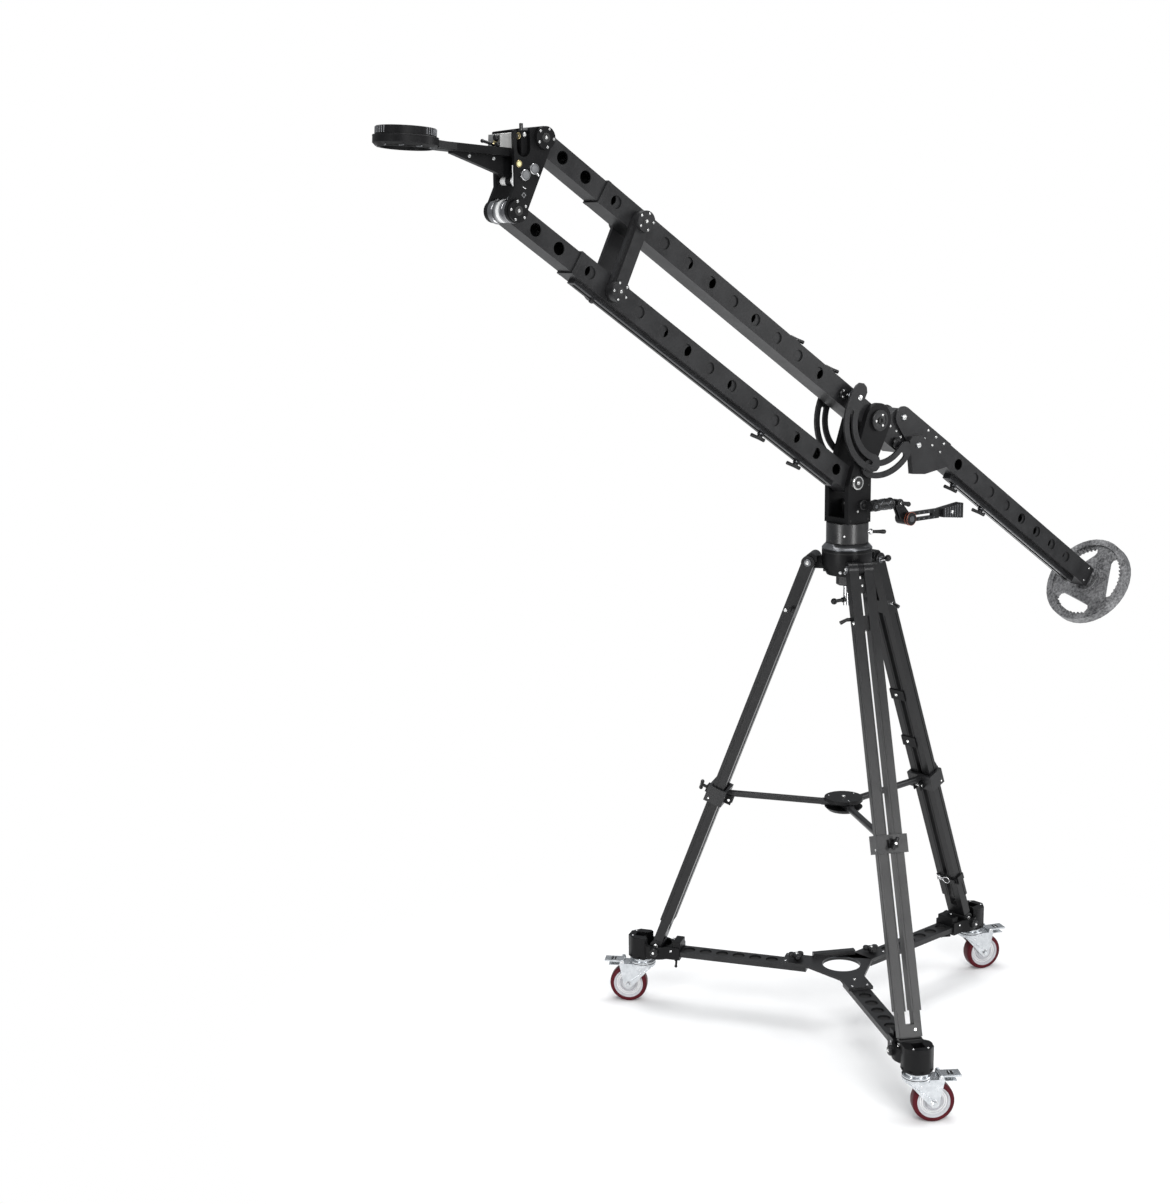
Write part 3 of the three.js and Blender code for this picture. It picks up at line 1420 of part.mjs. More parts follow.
const headAt = alongBoom(upperPivotX, upperPivotZ, boomLength);
const head = groupAt(crane, headAt.x, 0, headAt.z);
const headLower = { x: lowerPivotX - upperPivotX, z: lowerPivotZ - upperPivotZ };
addPiece(head, 'head_bracket', headBracket(headLower), blackAnodised());
addPiece(head, 'head_tilt_lever', headTiltLever(), polishedSteel());
const platform = leaning(groupAt(head, -tiltPinReach, 0, -tiltPinDrop), cameraTilt);
addPiece(platform, 'camera_arm', cameraArm(), blackAnodised());
addPiece(platform, 'head_block', headBlock(), bareAluminium());
addPiece(crane, 'monitor_arm_base', monitorArmBase(), blackPlastic());
addPiece(crane, 'monitor_arm_link', monitorArmLink(), blackPlastic());

// The centre of the crane's box, at floor level, becomes the origin
crane.updateMatrixWorld(true);
const bounds = new THREE.Box3().setFromObject(crane, true);
const centre = bounds.getCenter(new THREE.Vector3());
crane.position.set(-centre.x, -centre.y, -bounds.min.z);
crane.updateMatrixWorld(true);

export default crane;
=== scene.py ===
import json
from math import atan2, cos, degrees, hypot, pi, radians, sin

import bmesh
import bpy
from mathutils import Matrix, Vector


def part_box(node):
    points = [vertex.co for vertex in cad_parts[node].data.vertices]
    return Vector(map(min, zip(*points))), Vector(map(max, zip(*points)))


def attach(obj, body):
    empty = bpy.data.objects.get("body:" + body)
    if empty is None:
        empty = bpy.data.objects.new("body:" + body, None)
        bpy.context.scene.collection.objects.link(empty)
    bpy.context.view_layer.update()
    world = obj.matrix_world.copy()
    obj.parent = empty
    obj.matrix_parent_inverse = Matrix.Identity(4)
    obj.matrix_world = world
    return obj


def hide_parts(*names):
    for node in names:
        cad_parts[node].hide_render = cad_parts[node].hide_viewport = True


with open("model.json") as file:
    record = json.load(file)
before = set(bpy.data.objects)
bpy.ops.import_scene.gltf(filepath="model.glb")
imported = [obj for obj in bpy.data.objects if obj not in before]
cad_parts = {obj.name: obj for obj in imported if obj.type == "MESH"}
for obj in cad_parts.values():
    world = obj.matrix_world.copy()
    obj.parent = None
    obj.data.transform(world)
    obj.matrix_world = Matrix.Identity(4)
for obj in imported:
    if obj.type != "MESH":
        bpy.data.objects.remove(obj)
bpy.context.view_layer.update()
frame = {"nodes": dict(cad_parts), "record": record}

# The pan axis of the crane in the row frame, in metres. All sizes below are measured from it.
hub_low, hub_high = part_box("pan_hub")
PAN = Vector(((hub_low.x + hub_high.x) / 2, (hub_low.y + hub_high.y) / 2, 0))
UPPER_PIVOT = PAN + Vector((0.061, 0, 1.576))
LOWER_PIVOT = PAN + Vector((-0.011, 0, 1.429))
ORIGIN = (0, 0, 0)
X_AXIS, Y_AXIS, Z_AXIS = (1, 0, 0), (0, 1, 0), (0, 0, 1)
# The near side is the one with the monitor arm. It faces -Y.
NEAR, FAR = -1, 1
NEARWARDS = (0, NEAR, 0)


def mm(*values):
    """Millimetres from the pan axis as a point in the row frame."""
    return PAN + Vector(values) / 1000


# Materials
def feed(tree, node, inputs):
    """Gives a node its inputs: an output of another node is linked, and anything else is a plain value."""
    for key, value in inputs.items():
        if isinstance(value, bpy.types.NodeSocket):
            tree.links.new(value, node.inputs[key])
        else:
            node.inputs[key].default_value = value


def add_node(tree, kind, inputs, operation=None):
    node = tree.nodes.new("ShaderNode" + kind)
    if operation:
        node.operation = operation
    feed(tree, node, inputs)
    return node


def node_tree(name):
    """A new material with its tree, its shader, its output and the place on the piece, in metres."""
    material = bpy.data.materials.new(name)
    material.use_nodes = True
    tree = material.node_tree
    tree.nodes.clear()
    shader = add_node(tree, "BsdfPrincipled", {})
    output = add_node(tree, "OutputMaterial", {"Surface": shader.outputs["BSDF"]})
    place = add_node(tree, "TexCoord", {}).outputs["Object"]
    return material, tree, shader, output, place


def noise(tree, place, scale, detail):
    inputs = {"Vector": place, "Scale": scale, "Detail": detail, "Roughness": 0.6}
    return add_node(tree, "TexNoise", inputs).outputs["Fac"]


def ramp(tree, factor, stops):
    """A ramp between two (position, colour) stops; a single number is a grey."""
    node = add_node(tree, "ValToRGB", {"Fac": factor})
    for element, (position, colour) in zip(node.color_ramp.elements, stops):
        element.position = position
        rgb = (colour,) * 3 if isinstance(colour, float) else colour
        element.color = (*rgb, 1)
    return node.outputs["Color"]


CLOUD_SHARE, GRAIN_SHARE = 0.45, 0.55
GRAIN_HEIGHT = 0.0004


def finish_material(name, dark, light, rough, metallic=0.0, grain=900.0, cloud=18.0, bump=0.15, coat=0.0,
                    specular=0.5, drift=0.06):
    """Colour and roughness that drift over the piece, with a fine grain in the surface."""
    material, tree, shader, _, place = node_tree(name)
    clouds = noise(tree, place, cloud, 4.0)
    grains = noise(tree, place, grain, 2.0)
    fine = add_node(tree, "Math", {0: grains, 1: GRAIN_SHARE}, "MULTIPLY")
    tone = add_node(tree, "Math", {0: clouds, 1: CLOUD_SHARE, 2: fine.outputs[0]}, "MULTIPLY_ADD")
    relief = add_node(tree, "Bump", {"Strength": bump, "Distance": GRAIN_HEIGHT, "Height": grains})
    feed(tree, shader, {
        "Base Color": ramp(tree, tone.outputs[0], [(0.36, dark), (0.64, light)]),
        "Roughness": ramp(tree, clouds, [(0.3, rough - drift), (0.7, rough + drift)]),
        "Metallic": metallic,
        "Specular IOR Level": specular,
        "Normal": relief.outputs["Normal"],
    })
    if coat:
        feed(tree, shader, {"Coat Weight": coat, "Coat Roughness": 0.2})
    return material


# Each look has its material slot, dark colour, light colour and roughness, and then what else it sets
FINISHES = {
    "anodised": ("black_anodised", (0.0065, 0.0065, 0.007), (0.0175, 0.0175, 0.0185), 0.36,
                 dict(grain=420, bump=0.1, specular=0.32)),
    "rail": ("black_anodised", (0.005, 0.005, 0.0054), (0.008, 0.008, 0.0085), 0.32,
             dict(grain=420, bump=0.08, specular=0.3, drift=0.02)),
    "casting": ("black_casting", (0.002, 0.002, 0.0023), (0.005, 0.005, 0.0055), 0.4,
                dict(grain=620, specular=0.16)),
    "plastic": ("black_plastic", (0.003, 0.003, 0.0035), (0.008, 0.008, 0.0085), 0.36, dict(specular=0.3)),
    "gloss": ("black_anodised", (0.004, 0.004, 0.0045), (0.009, 0.009, 0.0095), 0.3,
              dict(bump=0.03, specular=0.6)),
    "zinc": ("zinc", (0.42, 0.44, 0.46), (0.68, 0.7, 0.72), 0.24, dict(metallic=0.85, cloud=60, bump=0.05)),
    "steel": ("steel", (0.52, 0.52, 0.53), (0.78, 0.78, 0.78), 0.18, dict(metallic=1.0, bump=0.04)),
    "aluminium": ("bare_aluminium", (0.36, 0.36, 0.355), (0.5, 0.5, 0.485), 0.42,
                  dict(metallic=0.75, bump=0.12)),
    "satin": ("black_anodised", (0.05, 0.052, 0.056), (0.085, 0.088, 0.094), 0.24,
              dict(metallic=0.9, bump=0.05)),
    "grey": ("black_anodised", (0.11, 0.113, 0.12), (0.18, 0.183, 0.19), 0.34,
             dict(metallic=0.9, bump=0.05)),
    "chrome": ("steel", (0.24, 0.24, 0.25), (0.36, 0.36, 0.37), 0.16, dict(metallic=1.0, bump=0.04)),
    "pearl": ("steel", (0.72, 0.72, 0.72), (0.92, 0.92, 0.91), 0.3, dict(metallic=0.25, bump=0.04)),
    "tyre": ("wheel_tyre", (0.045, 0.002, 0.005), (0.08, 0.004, 0.009), 0.4, dict(cloud=40, specular=0.15)),
    "core": ("bare_aluminium", (0.36, 0.36, 0.38), (0.5, 0.5, 0.52), 0.35, dict(cloud=50, bump=0.05)),
    "iron": ("hammered_iron", (0.035, 0.035, 0.037), (0.27, 0.27, 0.275), 0.36,
             dict(metallic=0.45, grain=150, bump=1.0)),
    "screw": ("steel", (0.66, 0.66, 0.66), (0.9, 0.9, 0.88), 0.22, dict(metallic=0.9, bump=0.03)),
    "brass": ("steel", (0.5, 0.4, 0.2), (0.7, 0.58, 0.32), 0.25, dict(metallic=0.95, bump=0.03)),
    "vial": ("bare_aluminium", (0.62, 0.6, 0.3), (0.75, 0.73, 0.42), 0.15, dict(bump=0.0, coat=1.0)),
    "dark": ("black_plastic", (0.0025, 0.0025, 0.0025), (0.006, 0.006, 0.006), 0.6, {}),
    "orange": ("black_plastic", (0.3, 0.05, 0.012), (0.45, 0.08, 0.025), 0.4, {}),
}
SLOTS = {look: row[0] for look, row in FINISHES.items()}
MATERIALS = {look: finish_material(look, *tones, **rest) for look, (_, *tones, rest) in FINISHES.items()}
# A slot's plain solids wear the first look of that slot
LOOKS = {slot: look for look, slot in reversed(SLOTS.items())}


# Frames: millimetres in a local frame, to metres in the row frame
SCALE = Matrix.Diagonal((0.001, 0.001, 0.001, 1))


def frame_at(origin, rotation=Matrix.Identity(3)):
    return Matrix.Translation(origin) @ rotation.to_4x4() @ SCALE


def turned_y(angle):
    """The rotation of a group that leans by this many degrees about Y."""
    return Matrix.Rotation(radians(angle), 3, "Y")


def turned_z(angle):
    return Matrix.Rotation(radians(angle), 3, "Z")


FLOOR = frame_at(PAN)
BOOM_ELEVATION = 33.7
UPPER = frame_at(UPPER_PIVOT, turned_y(BOOM_ELEVATION))
LOWER = frame_at(LOWER_PIVOT, turned_y(BOOM_ELEVATION))
HEAD = frame_at(UPPER @ Vector((-1181, 0, 0)))
TILT_PIN = (-57, 0, -86)
PLATFORM = frame_at(HEAD @ Vector(TILT_PIN), turned_y(4.5))
ARMS = {"front": -115.3, "right": 4.7, "left": 124.7}
HEADINGS = {"front": -32.0, "right": -19.0, "left": 135.0}
# The legs, from the crown's hinges to the feet in their cups, and the casters under them
HINGE_REACH, HINGE_RISE = 92, 1225
FOOT_REACH, FOOT_RISE = 494, 168.2
LEG_TILT = degrees(atan2(FOOT_REACH - HINGE_REACH, HINGE_RISE - FOOT_RISE))
LEG_LENGTH = hypot(FOOT_REACH - HINGE_REACH, HINGE_RISE - FOOT_RISE)
SWIVEL_REACH = 539


def arm_frame(place):
    return frame_at(PAN, turned_z(ARMS[place]))


def caster_frame(place):
    swivel = arm_frame(place) @ Vector((SWIVEL_REACH, 0, 0))
    return frame_at(swivel, turned_z(HEADINGS[place]))


def leg_frame(place):
    hinge = arm_frame(place) @ Vector((HINGE_REACH, 0, HINGE_RISE))
    return frame_at(hinge, turned_z(ARMS[place]) @ turned_y(-LEG_TILT))


def polar(radius, angle, height):
    """A point round the Z axis, at an angle in degrees."""
    return radius * cos(radians(angle)), radius * sin(radians(angle)), height


def mesh_of(bm, name):
    """A mesh with what has been worked out, which is then freed."""
    mesh = bpy.data.meshes.new(name)
    bm.to_mesh(mesh)
    bm.free()
    return mesh


def add_object(name, data):
    obj = bpy.data.objects.new(name, data)
    bpy.context.collection.objects.link(obj)
    return obj


class Shape:
    """A mesh under construction, in the millimetres of one frame. A form without a look takes the first."""

    def __init__(self, place, looks=("anodised",)):
        self.bm = bmesh.new()
        self.place = place
        self.looks = looks

    def _index(self, look):
        return self.looks.index(look) if look else 0

    def _take(self, vertices, look):
        for face in {f for v in vertices for f in v.link_faces}:
            face.material_index = self._index(look)

    def box(self, low, high, look=None, turn=Matrix.Identity(4)):
        low, high = Vector(low), Vector(high)
        size = Matrix.Diagonal((*(high - low), 1))
        matrix = turn @ Matrix.Translation((low + high) / 2) @ size
        made = bmesh.ops.create_cube(self.bm, size=1, matrix=matrix)
        self._take(made["verts"], look)

    def rod(self, start, end, radius, look=None, sides=32, end_radius=None):
        start, end = Vector(start), Vector(end)
        along = end - start
        turn = along.to_track_quat("Z", "Y").to_matrix().to_4x4()
        matrix = Matrix.Translation((start + end) / 2) @ turn
        made = bmesh.ops.create_cone(
            self.bm, cap_ends=True, segments=sides, radius1=radius,
            radius2=radius if end_radius is None else end_radius, depth=along.length, matrix=matrix,
        )
        self._take(made["verts"], look)

    def ball(self, centre, radius, look=None):
        matrix = Matrix.Translation(centre)
        made = bmesh.ops.create_uvsphere(self.bm, u_segments=24, v_segments=14, radius=radius, matrix=matrix)
        self._take(made["verts"], look)

    def lathe(self, profile, centre, axis, look=None, sides=64, closed=False):
        """Turns (radius, height) pairs about an axis through centre, closed on itself or with flat ends."""
        turn = Matrix.Translation(centre) @ Vector(axis).to_track_quat("Z", "Y").to_matrix().to_4x4()
        (first, low), (last, high) = profile[0], profile[-1]
        if first and not closed:
            profile = [(0, low), *profile]
        if last and not closed:
            profile = [*profile, (0, high)]
        rings = []
        for radius, height in profile:
            angles = [2 * pi * i / sides for i in range(sides if radius else 1)]
            points = [Vector((radius * cos(a), radius * sin(a), height)) for a in angles]
            rings.append([self.bm.verts.new(turn @ point) for point in points])
        pairs = list(zip(rings, rings[1:] + rings[:1])) if closed else list(zip(rings, rings[1:]))
        for lower, upper in pairs:
            for i in range(sides):
                corners = [lower[i % len(lower)], lower[(i + 1) % len(lower)],
                           upper[(i + 1) % len(upper)], upper[i % len(upper)]]
                unique = list(dict.fromkeys(corners))
                if len(unique) > 2:
                    self.bm.faces.new(unique).material_index = self._index(look)

    def prism(self, points, start, end, plane="xz", look=None):
        """A flat outline, as a plate from start to end along the third axis."""
        def lift(point, depth):
            a, b = point
            return (a, depth, b) if plane == "xz" else (a, b, depth)
        lower = [self.bm.verts.new(lift(p, start)) for p in points]
        upper = [self.bm.verts.new(lift(p, end)) for p in points]
        faces = [self.bm.faces.new(lower), self.bm.faces.new(upper[::-1])]
        for i in range(len(points)):
            j = (i + 1) % len(points)
            faces.append(self.bm.faces.new((lower[j], lower[i], upper[i], upper[j])))
        for face in faces:
            face.material_index = self._index(look)

    def finish(self, name, body, smooth=40, bevel=0.0, replaces=()):
        bmesh.ops.recalc_face_normals(self.bm, faces=self.bm.faces)
        self.bm.transform(self.place)
        return settle(name, mesh_of(self.bm, name), body, self.looks, smooth, bevel, replaces)


def wire(shape, centre, axis, radius, thickness, look):
    """A round wire bent to a ring."""
    angles = [2 * pi * i / 10 for i in range(10)]
    profile = [(radius + thickness * cos(angle), thickness * sin(angle)) for angle in angles]
    shape.lathe(profile, centre, axis, look, sides=48, closed=True)


def bolt(shape, centre, axis, radius, height, look="screw"):
    """A socket-head screw. The centre lies on the face it is screwed to, and the axis points out of it."""
    profile = [
        (0.44 * radius, 0.4 * height), (0.5 * radius, height), (0.84 * radius, height),
        (radius, 0.7 * height), (radius, -0.4),
    ]
    shape.lathe(profile, centre, axis, look, sides=28)


def ring_of(centre, radius, count, phase, depth):
    """Places round a circle in the X-Z plane, at one depth along Y."""
    x, z = centre
    for i in range(count):
        angle = radians(phase + 360 * i / count)
        yield (x + radius * cos(angle), depth, z + radius * sin(angle))


def disc(shape, centre, axis, radius, thickness, look, edge=0.6):
    """A round disc with a small chamfer, standing on a face."""
    profile = [(radius - edge, thickness), (radius, thickness - edge), (radius, -0.3)]
    shape.lathe(profile, centre, axis, look, sides=64)


def band(shape, centre, axis, inner, outer, low, high, look, sides=72, edge=0.5):
    """A ring of rectangular section with chamfered outer edges."""
    profile = [
        (inner, low), (outer - edge, low), (outer, low + edge), (outer, high - edge), (outer - edge, high),
        (inner, high),
    ]
    shape.lathe(profile, centre, axis, look, sides=sides, closed=True)


def settle(name, mesh, body, looks, smooth, bevel, replaces=()):
    """Turns a finished mesh into a piece of the crane that rides on one body."""
    # Clearing the materials also clears the faces' indices, so these are put back
    kept = [face.material_index for face in mesh.polygons]
    mesh.materials.clear()
    for look in looks:
        mesh.materials.append(MATERIALS[look])
    mesh.polygons.foreach_set("material_index", kept)
    mesh.shade_smooth()
    mesh.set_sharp_from_angle(angle=radians(smooth))
    piece = add_object(name, mesh)
    if bevel:
        edges = piece.modifiers.new("edges", "BEVEL")
        edges.width = bevel / 1000
        edges.segments = 2
        edges.limit_method = "ANGLE"
        edges.angle_limit = radians(50)
        flats = piece.modifiers.new("flats", "WEIGHTED_NORMAL")
        flats.keep_sharp = True
    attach(piece, body)
    if replaces:
        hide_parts(*replaces)
        DONE.update(replaces)
    return piece


BODY_OF = {node: body for body, nodes in frame["record"]["behaviour"]["bodies"].items() for node in nodes}
DONE = set()


def refine(node, look, bevel=0.7, cuts=None):
    """The CAD node with merged flat faces, soft edges and, where given, finer holes."""
    DONE.add(node)
    bm = bmesh.new()
    bm.from_mesh(frame["nodes"][node].data)
    bmesh.ops.remove_doubles(bm, verts=bm.verts, dist=2e-6)
    bmesh.ops.dissolve_limit(bm, angle_limit=radians(0.8), verts=bm.verts, edges=bm.edges)
    mesh = mesh_of(bm, "look." + node)
    if cuts:
        mesh = drilled(mesh, cuts)
    return settle("look." + node, mesh, BODY_OF[node], [look], 50, bevel, (node,))


def drilled(mesh, shape):
    """The mesh without what a shape takes up."""
    bmesh.ops.recalc_face_normals(shape.bm, faces=shape.bm.faces)
    shape.bm.transform(shape.place)
    tool = add_object("tool", mesh_of(shape.bm, "tool"))
    base = add_object("base", mesh)
    step = base.modifiers.new("cut", "BOOLEAN")
    step.operation = "DIFFERENCE"
    step.object = tool
    step.solver = "EXACT"
    step.use_self = True
    graph = bpy.context.evaluated_depsgraph_get()
    result = bpy.data.meshes.new_from_object(base.evaluated_get(graph))
    for obj in (tool, base):
        bpy.data.objects.remove(obj)
    return result


# Every CAD node, with soft edges and smooth round holes
OUTER_HOLES = [-946 + 80 * i for i in range(12)]
INNER_HOLES = [-1111 + 71 * i for i in range(8)] + [-960, -480, -212]
REAR_HOLES = [328 + 75 * i for i in range(8)]
REAR_INNER_HOLES = [620 + 71 * i for i in range(5)]
LINK_HOLE = -866
REAR_RISE = 54.6
ARM_HOLES = [184 + 45 * i for i in range(6)]


def cross_holes(place, reaches, rise):
    """Round rods across a beam, which cut its holes smooth."""
    rods = Shape(place)
    for reach in reaches:
        rods.rod((reach, -40, rise), (reach, 40, rise), 14.2, sides=40)
    return rods


def refine_beams():
    outer = [reach for reach in OUTER_HOLES if reach != LINK_HOLE]
    for node, place, reaches, rise in (
        ("upper_beam", UPPER, outer[:9], 0),
        ("lower_beam", LOWER, outer, 0),
        ("upper_inner_tube", UPPER, INNER_HOLES, 0),
        ("lower_inner_tube", LOWER, INNER_HOLES, 0),
        ("rear_tube", UPPER, REAR_HOLES, REAR_RISE),
        ("rear_inner_tube", UPPER, REAR_INNER_HOLES, REAR_RISE),
    ):
        refine(node, "anodised", cuts=cross_holes(place, reaches, rise))


def refine_arms():
    """The dolly's arms and plate, with smooth round holes."""
    for place in ARMS:
        holes = Shape(arm_frame(place))
        for reach in ARM_HOLES:
            holes.rod((reach, 0, 130), (reach, 0, 170), 16.2, sides=44)
        refine("dolly_arm_" + place, "anodised", bevel=1.2, cuts=holes)
    hole = Shape(FLOOR)
    hole.rod((0, 0, 150), (0, 0, 175), 49.25, sides=88)
    refine("dolly_plate", "anodised", bevel=1.2, cuts=hole)


def refine_rest():
    """What no other piece stands for keeps its own solid, in the look of its material."""
    slots = {entry["node"]: entry["material_slot"] for entry in frame["record"]["subparts"]}
    for node, slot in slots.items():
        if node not in DONE:
            refine(node, LOOKS[slot])


# Wheels, casters and cups. In a caster's frame the swivel axis is Z and X points to the wheel.
AXLE = (38, 0, 50)


def wheel(place):
    """A caster wheel turned from its profile: a dark red tread on a stepped light core."""
    turn = caster_frame(place)
    tyre = Shape(turn, ["tyre"])
    tread = [
        (40.5, -16), (46, -15.6), (48.6, -13.8), (49.7, -10.5), (50, -6), (50, 6), (49.7, 10.5),
        (48.6, 13.8), (46, 15.6), (40.5, 16), (38.5, 15), (38, 0), (38.5, -15),
    ]
    tyre.lathe(tread, AXLE, Y_AXIS, sides=96, closed=True)
    tyre.finish("tyre_" + place, "wheel_" + place, replaces=("caster_wheel_" + place,))
    core = Shape(turn, ["core", "steel", "dark"])
    face = [
        (39.5, 15.2), (37.6, 15.4), (36.8, 14.0), (34.6, 13.4), (33.4, 10.6), (24.5, 9.4), (23.4, 12.2),
        (21.0, 12.8), (20.0, 10.8), (17.8, 10.8), (17.0, 16.0), (8.0, 16.4), (7.0, 14.5), (5.6, 14.5),
    ]
    profile = [(r, -h) for r, h in face] + [(r, h) for r, h in reversed(face)]
    core.lathe(profile, AXLE, Y_AXIS, "core", sides=96, closed=True)
    for side in (NEAR, FAR):
        band(core, AXLE, (0, side, 0), 24.6, 33.0, 9.0, 10.6, "steel", edge=0.2)
        band(core, AXLE, (0, side, 0), 28.0, 29.4, 10.0, 11.2, "core", edge=0.3)
    core.finish("core_" + place, "wheel_" + place)


def caster(place):
    """The swivel races, the kingpin plate, the axle's nuts and the pedal's slots, drawn as dark strips of
    painted shade.
    """
    turn = caster_frame(place)
    for node in ("caster_fork_", "brake_pedal_"):
        refine(node + place, "zinc", bevel=0.6)
    fork = Shape(turn, ["zinc", "steel", "dark", "screw"])
    band(fork, ORIGIN, Z_AXIS, 33, 34.8, 107.6, 111.4, "zinc", edge=0.8)
    band(fork, ORIGIN, Z_AXIS, 33, 35.2, 112.8, 117.4, "zinc", edge=1.0)
    band(fork, ORIGIN, Z_AXIS, 33, 34.2, 111.4, 112.8, "dark", edge=0.1)
    band(fork, ORIGIN, Z_AXIS, 27, 30.5, 122.5, 125.0, "zinc", edge=0.6)
    for side in (NEAR, FAR):
        face = side * 21.5
        out = (0, side, 0)
        disc(fork, (38, face, 50), out, 8.8, 1.2, "steel", edge=0.4)
        fork.lathe([(5.4, 4.8), (6.6, 3.8), (6.6, -0.3)], (38, face, 50), out, "zinc", sides=6)
        bolt(fork, (54, face, 113), out, 3.6, 1.6, "steel")
        bolt(fork, (6, face, 92), out, 2.4, 0.8, "steel")
        fork.rod((-24, face, 101), (30, face, 62), 1.3, "zinc", sides=12)
    fork.finish("caster.details." + place, "caster_" + place, smooth=35)
    pedal = Shape(turn, ["dark", "zinc"])
    # Dark strips on the pedal stand for its slots: painted shade
    for low, high in ((71.5, 76), (79, 84.5)):
        pedal.box((low, -9.5, 114.8), (high, 9.5, 115.5), "dark")
    for i in range(4):
        x = 89 + 3.2 * i
        pedal.rod((x, -15, 115.0), (x, 15, 115.0), 0.8, "zinc", sides=12)
    pedal.finish("pedal.details." + place, "pedal_" + place)


def dress_cup(place):
    """The side grips of a cup, the lever under its sleeve and the screws in its top."""
    refine("leg_cup_" + place, "casting", bevel=1.4)
    cup = Shape(arm_frame(place), ["plastic", "screw", "steel", "casting"])
    for side in (-1, 1):
        out = (0, side, 0)
        grip = [(9.4, 4.4), (11.2, 2.6), (12.4, 0), (12.4, -2)]
        cup.lathe(grip, (FOOT_REACH, side * 49.8, 158), out, "plastic", sides=10)
        bolt(cup, (FOOT_REACH, side * 54.2, 158), out, 3.4, 1.2)
        bolt(cup, (452, side * 31, 160), out, 3.0, 1.4, "steel")
        bolt(cup, (561, side * 18, 188), Z_AXIS, 3.0, 1.0, "steel")
    cup.rod((446, 0, 136.3), (446, 0, 122), 4.0, "plastic", sides=24)
    cup.rod((446, -4, 124), (440, 22, 116), 3.0, "plastic", sides=20)
    cup.ball((440, 22, 116), 4.0, "plastic")
    bolt(cup, (452, 0, 184), Z_AXIS, 3.6, 1.4, "steel")
    band(cup, (SWIVEL_REACH, 0, 0), Z_AXIS, 36.5, 38.4, 130, 134, "casting", sides=8, edge=0.5)
    cup.finish("cup.details." + place, "dolly", bevel=0.5)


def dress_plate():
    """Screws in the centre plate's lobes, and the two three-lobed knobs."""
    plate = Shape(FLOOR, ["screw", "steel", "dark", "satin"])
    for name, angle in ARMS.items():
        a = radians(angle)
        places = [(143, -20, "steel"), (143, 20, "steel")]
        if name == "front":
            places.insert(0, (103, 0, "screw"))
        for reach, across, look in places:
            x = reach * cos(a) - across * sin(a)
            y = reach * sin(a) + across * cos(a)
            bolt(plate, (x, y, 167), Z_AXIS, 3.8, 1.6, look)
    band(plate, ORIGIN, Z_AXIS, 48.8, 51.0, 165.2, 167.4, "satin", sides=96, edge=0.4)
    # A thin dark disc sunk in each hole of the arms: painted shade in the holes
    for angle in ARMS.values():
        for reach in ARM_HOLES:
            disc(plate, polar(reach, angle, 152.5), Z_AXIS, 16.1, 0.4, "dark", edge=0.1)
    plate.finish("plate.screws", "dolly")
    for name in ("left", "right"):
        turn = frame_at(arm_frame(name) @ Vector((118, 0, 0)), turned_z(ARMS[name]))
        knob = Shape(turn, ["plastic", "screw"])
        knob.rod((0, 0, 167.4), (0, 0, 174), 7.2, "plastic", sides=36)
        lobe = [(7, 172), (8.8, 174), (8.8, 180), (7, 182.6), (0, 183.2)]
        middle = [(11, 172), (12, 173.5), (12, 180.5), (10, 182.4)]
        for i in range(3):
            knob.lathe(lobe, polar(13.5, 120 * i, 0), Z_AXIS, sides=36)
        knob.lathe(middle, ORIGIN, Z_AXIS, sides=36)
        bolt(knob, (0, 0, 182.4), Z_AXIS, 4.4, 1.2)
        knob.finish("dolly.knob." + name, "dolly_knob_" + name, bevel=0.4, replaces=("dolly_knob_" + name,))


# Tripod: in a leg's frame Z runs up the leg, X points outwards, and Y across it
RAIL_SIDE = 31.0
RAIL_FACE = 15.0
COLLAR_RISE = 603
KNOB_SIDE = {"front": NEAR, "right": NEAR, "left": FAR}


def refine_legs():
    """Grooves down the faces of the rails."""
    for place in ARMS:
        grooves = Shape(leg_frame(place))
        for side in (-1, 1):
            grooves.box((4, side * RAIL_SIDE - 1.2, -1070), (6.4, side * RAIL_SIDE + 1.2, -158))
            for face in (-RAIL_FACE, RAIL_FACE):
                grooves.box((face - 1.0, side * 11 - 1, -1070), (face + 1.0, side * 11 + 1, -158))
        refine("leg_upper_" + place, "rail", cuts=grooves)
        refine("leg_lower_" + place, "rail")


def dress_leg_top(place):
    """The rounded cap over the hinge, the hinge bolt, and the clamp lever with its screws."""
    side = KNOB_SIDE[place]
    out = (0, side, 0)
    top = Shape(leg_frame(place), ["casting", "grey", "screw", "plastic", "steel"])
    if place != "front":
        top.rod((-4, -27, 12), (-4, 27, 12), 14.5, "casting", sides=40)
    if place == "right":
        top.rod((0, side * 33, 0), (3, side * 47, 3), 5.6, "steel")
        top.ball((4, side * 52, 4), 8.5, "plastic")
    disc(top, (0, side * RAIL_SIDE, 0), out, 9, 3.0, "grey", edge=1.0)
    bolt(top, (0, side * (RAIL_SIDE + 3.0), 0), out, 4.4, 2.2)
    bolt(top, (7.5, 0, -43), X_AXIS, 3.2, 1.6)
    bolt(top, (8, side * RAIL_SIDE, -134), out, 4.6, 2.4)
    for z in (-112, -206):
        disc(top, (-3, side * RAIL_SIDE, z), out, 1.9, 0.4, "plastic", edge=0.2)
    face = side * (RAIL_SIDE - 0.3)
    look = "steel" if place == "right" else "plastic"
    top.rod((-6, face, -122), (-6, side * 43, -122), 4.6, look, sides=28)
    top.rod((-6, side * 41, -121), (-8, side * 60, -129), 3.8, "plastic", sides=24, end_radius=5.0)
    top.finish("leg.top." + place, "leg_upper_" + place, bevel=0.5)


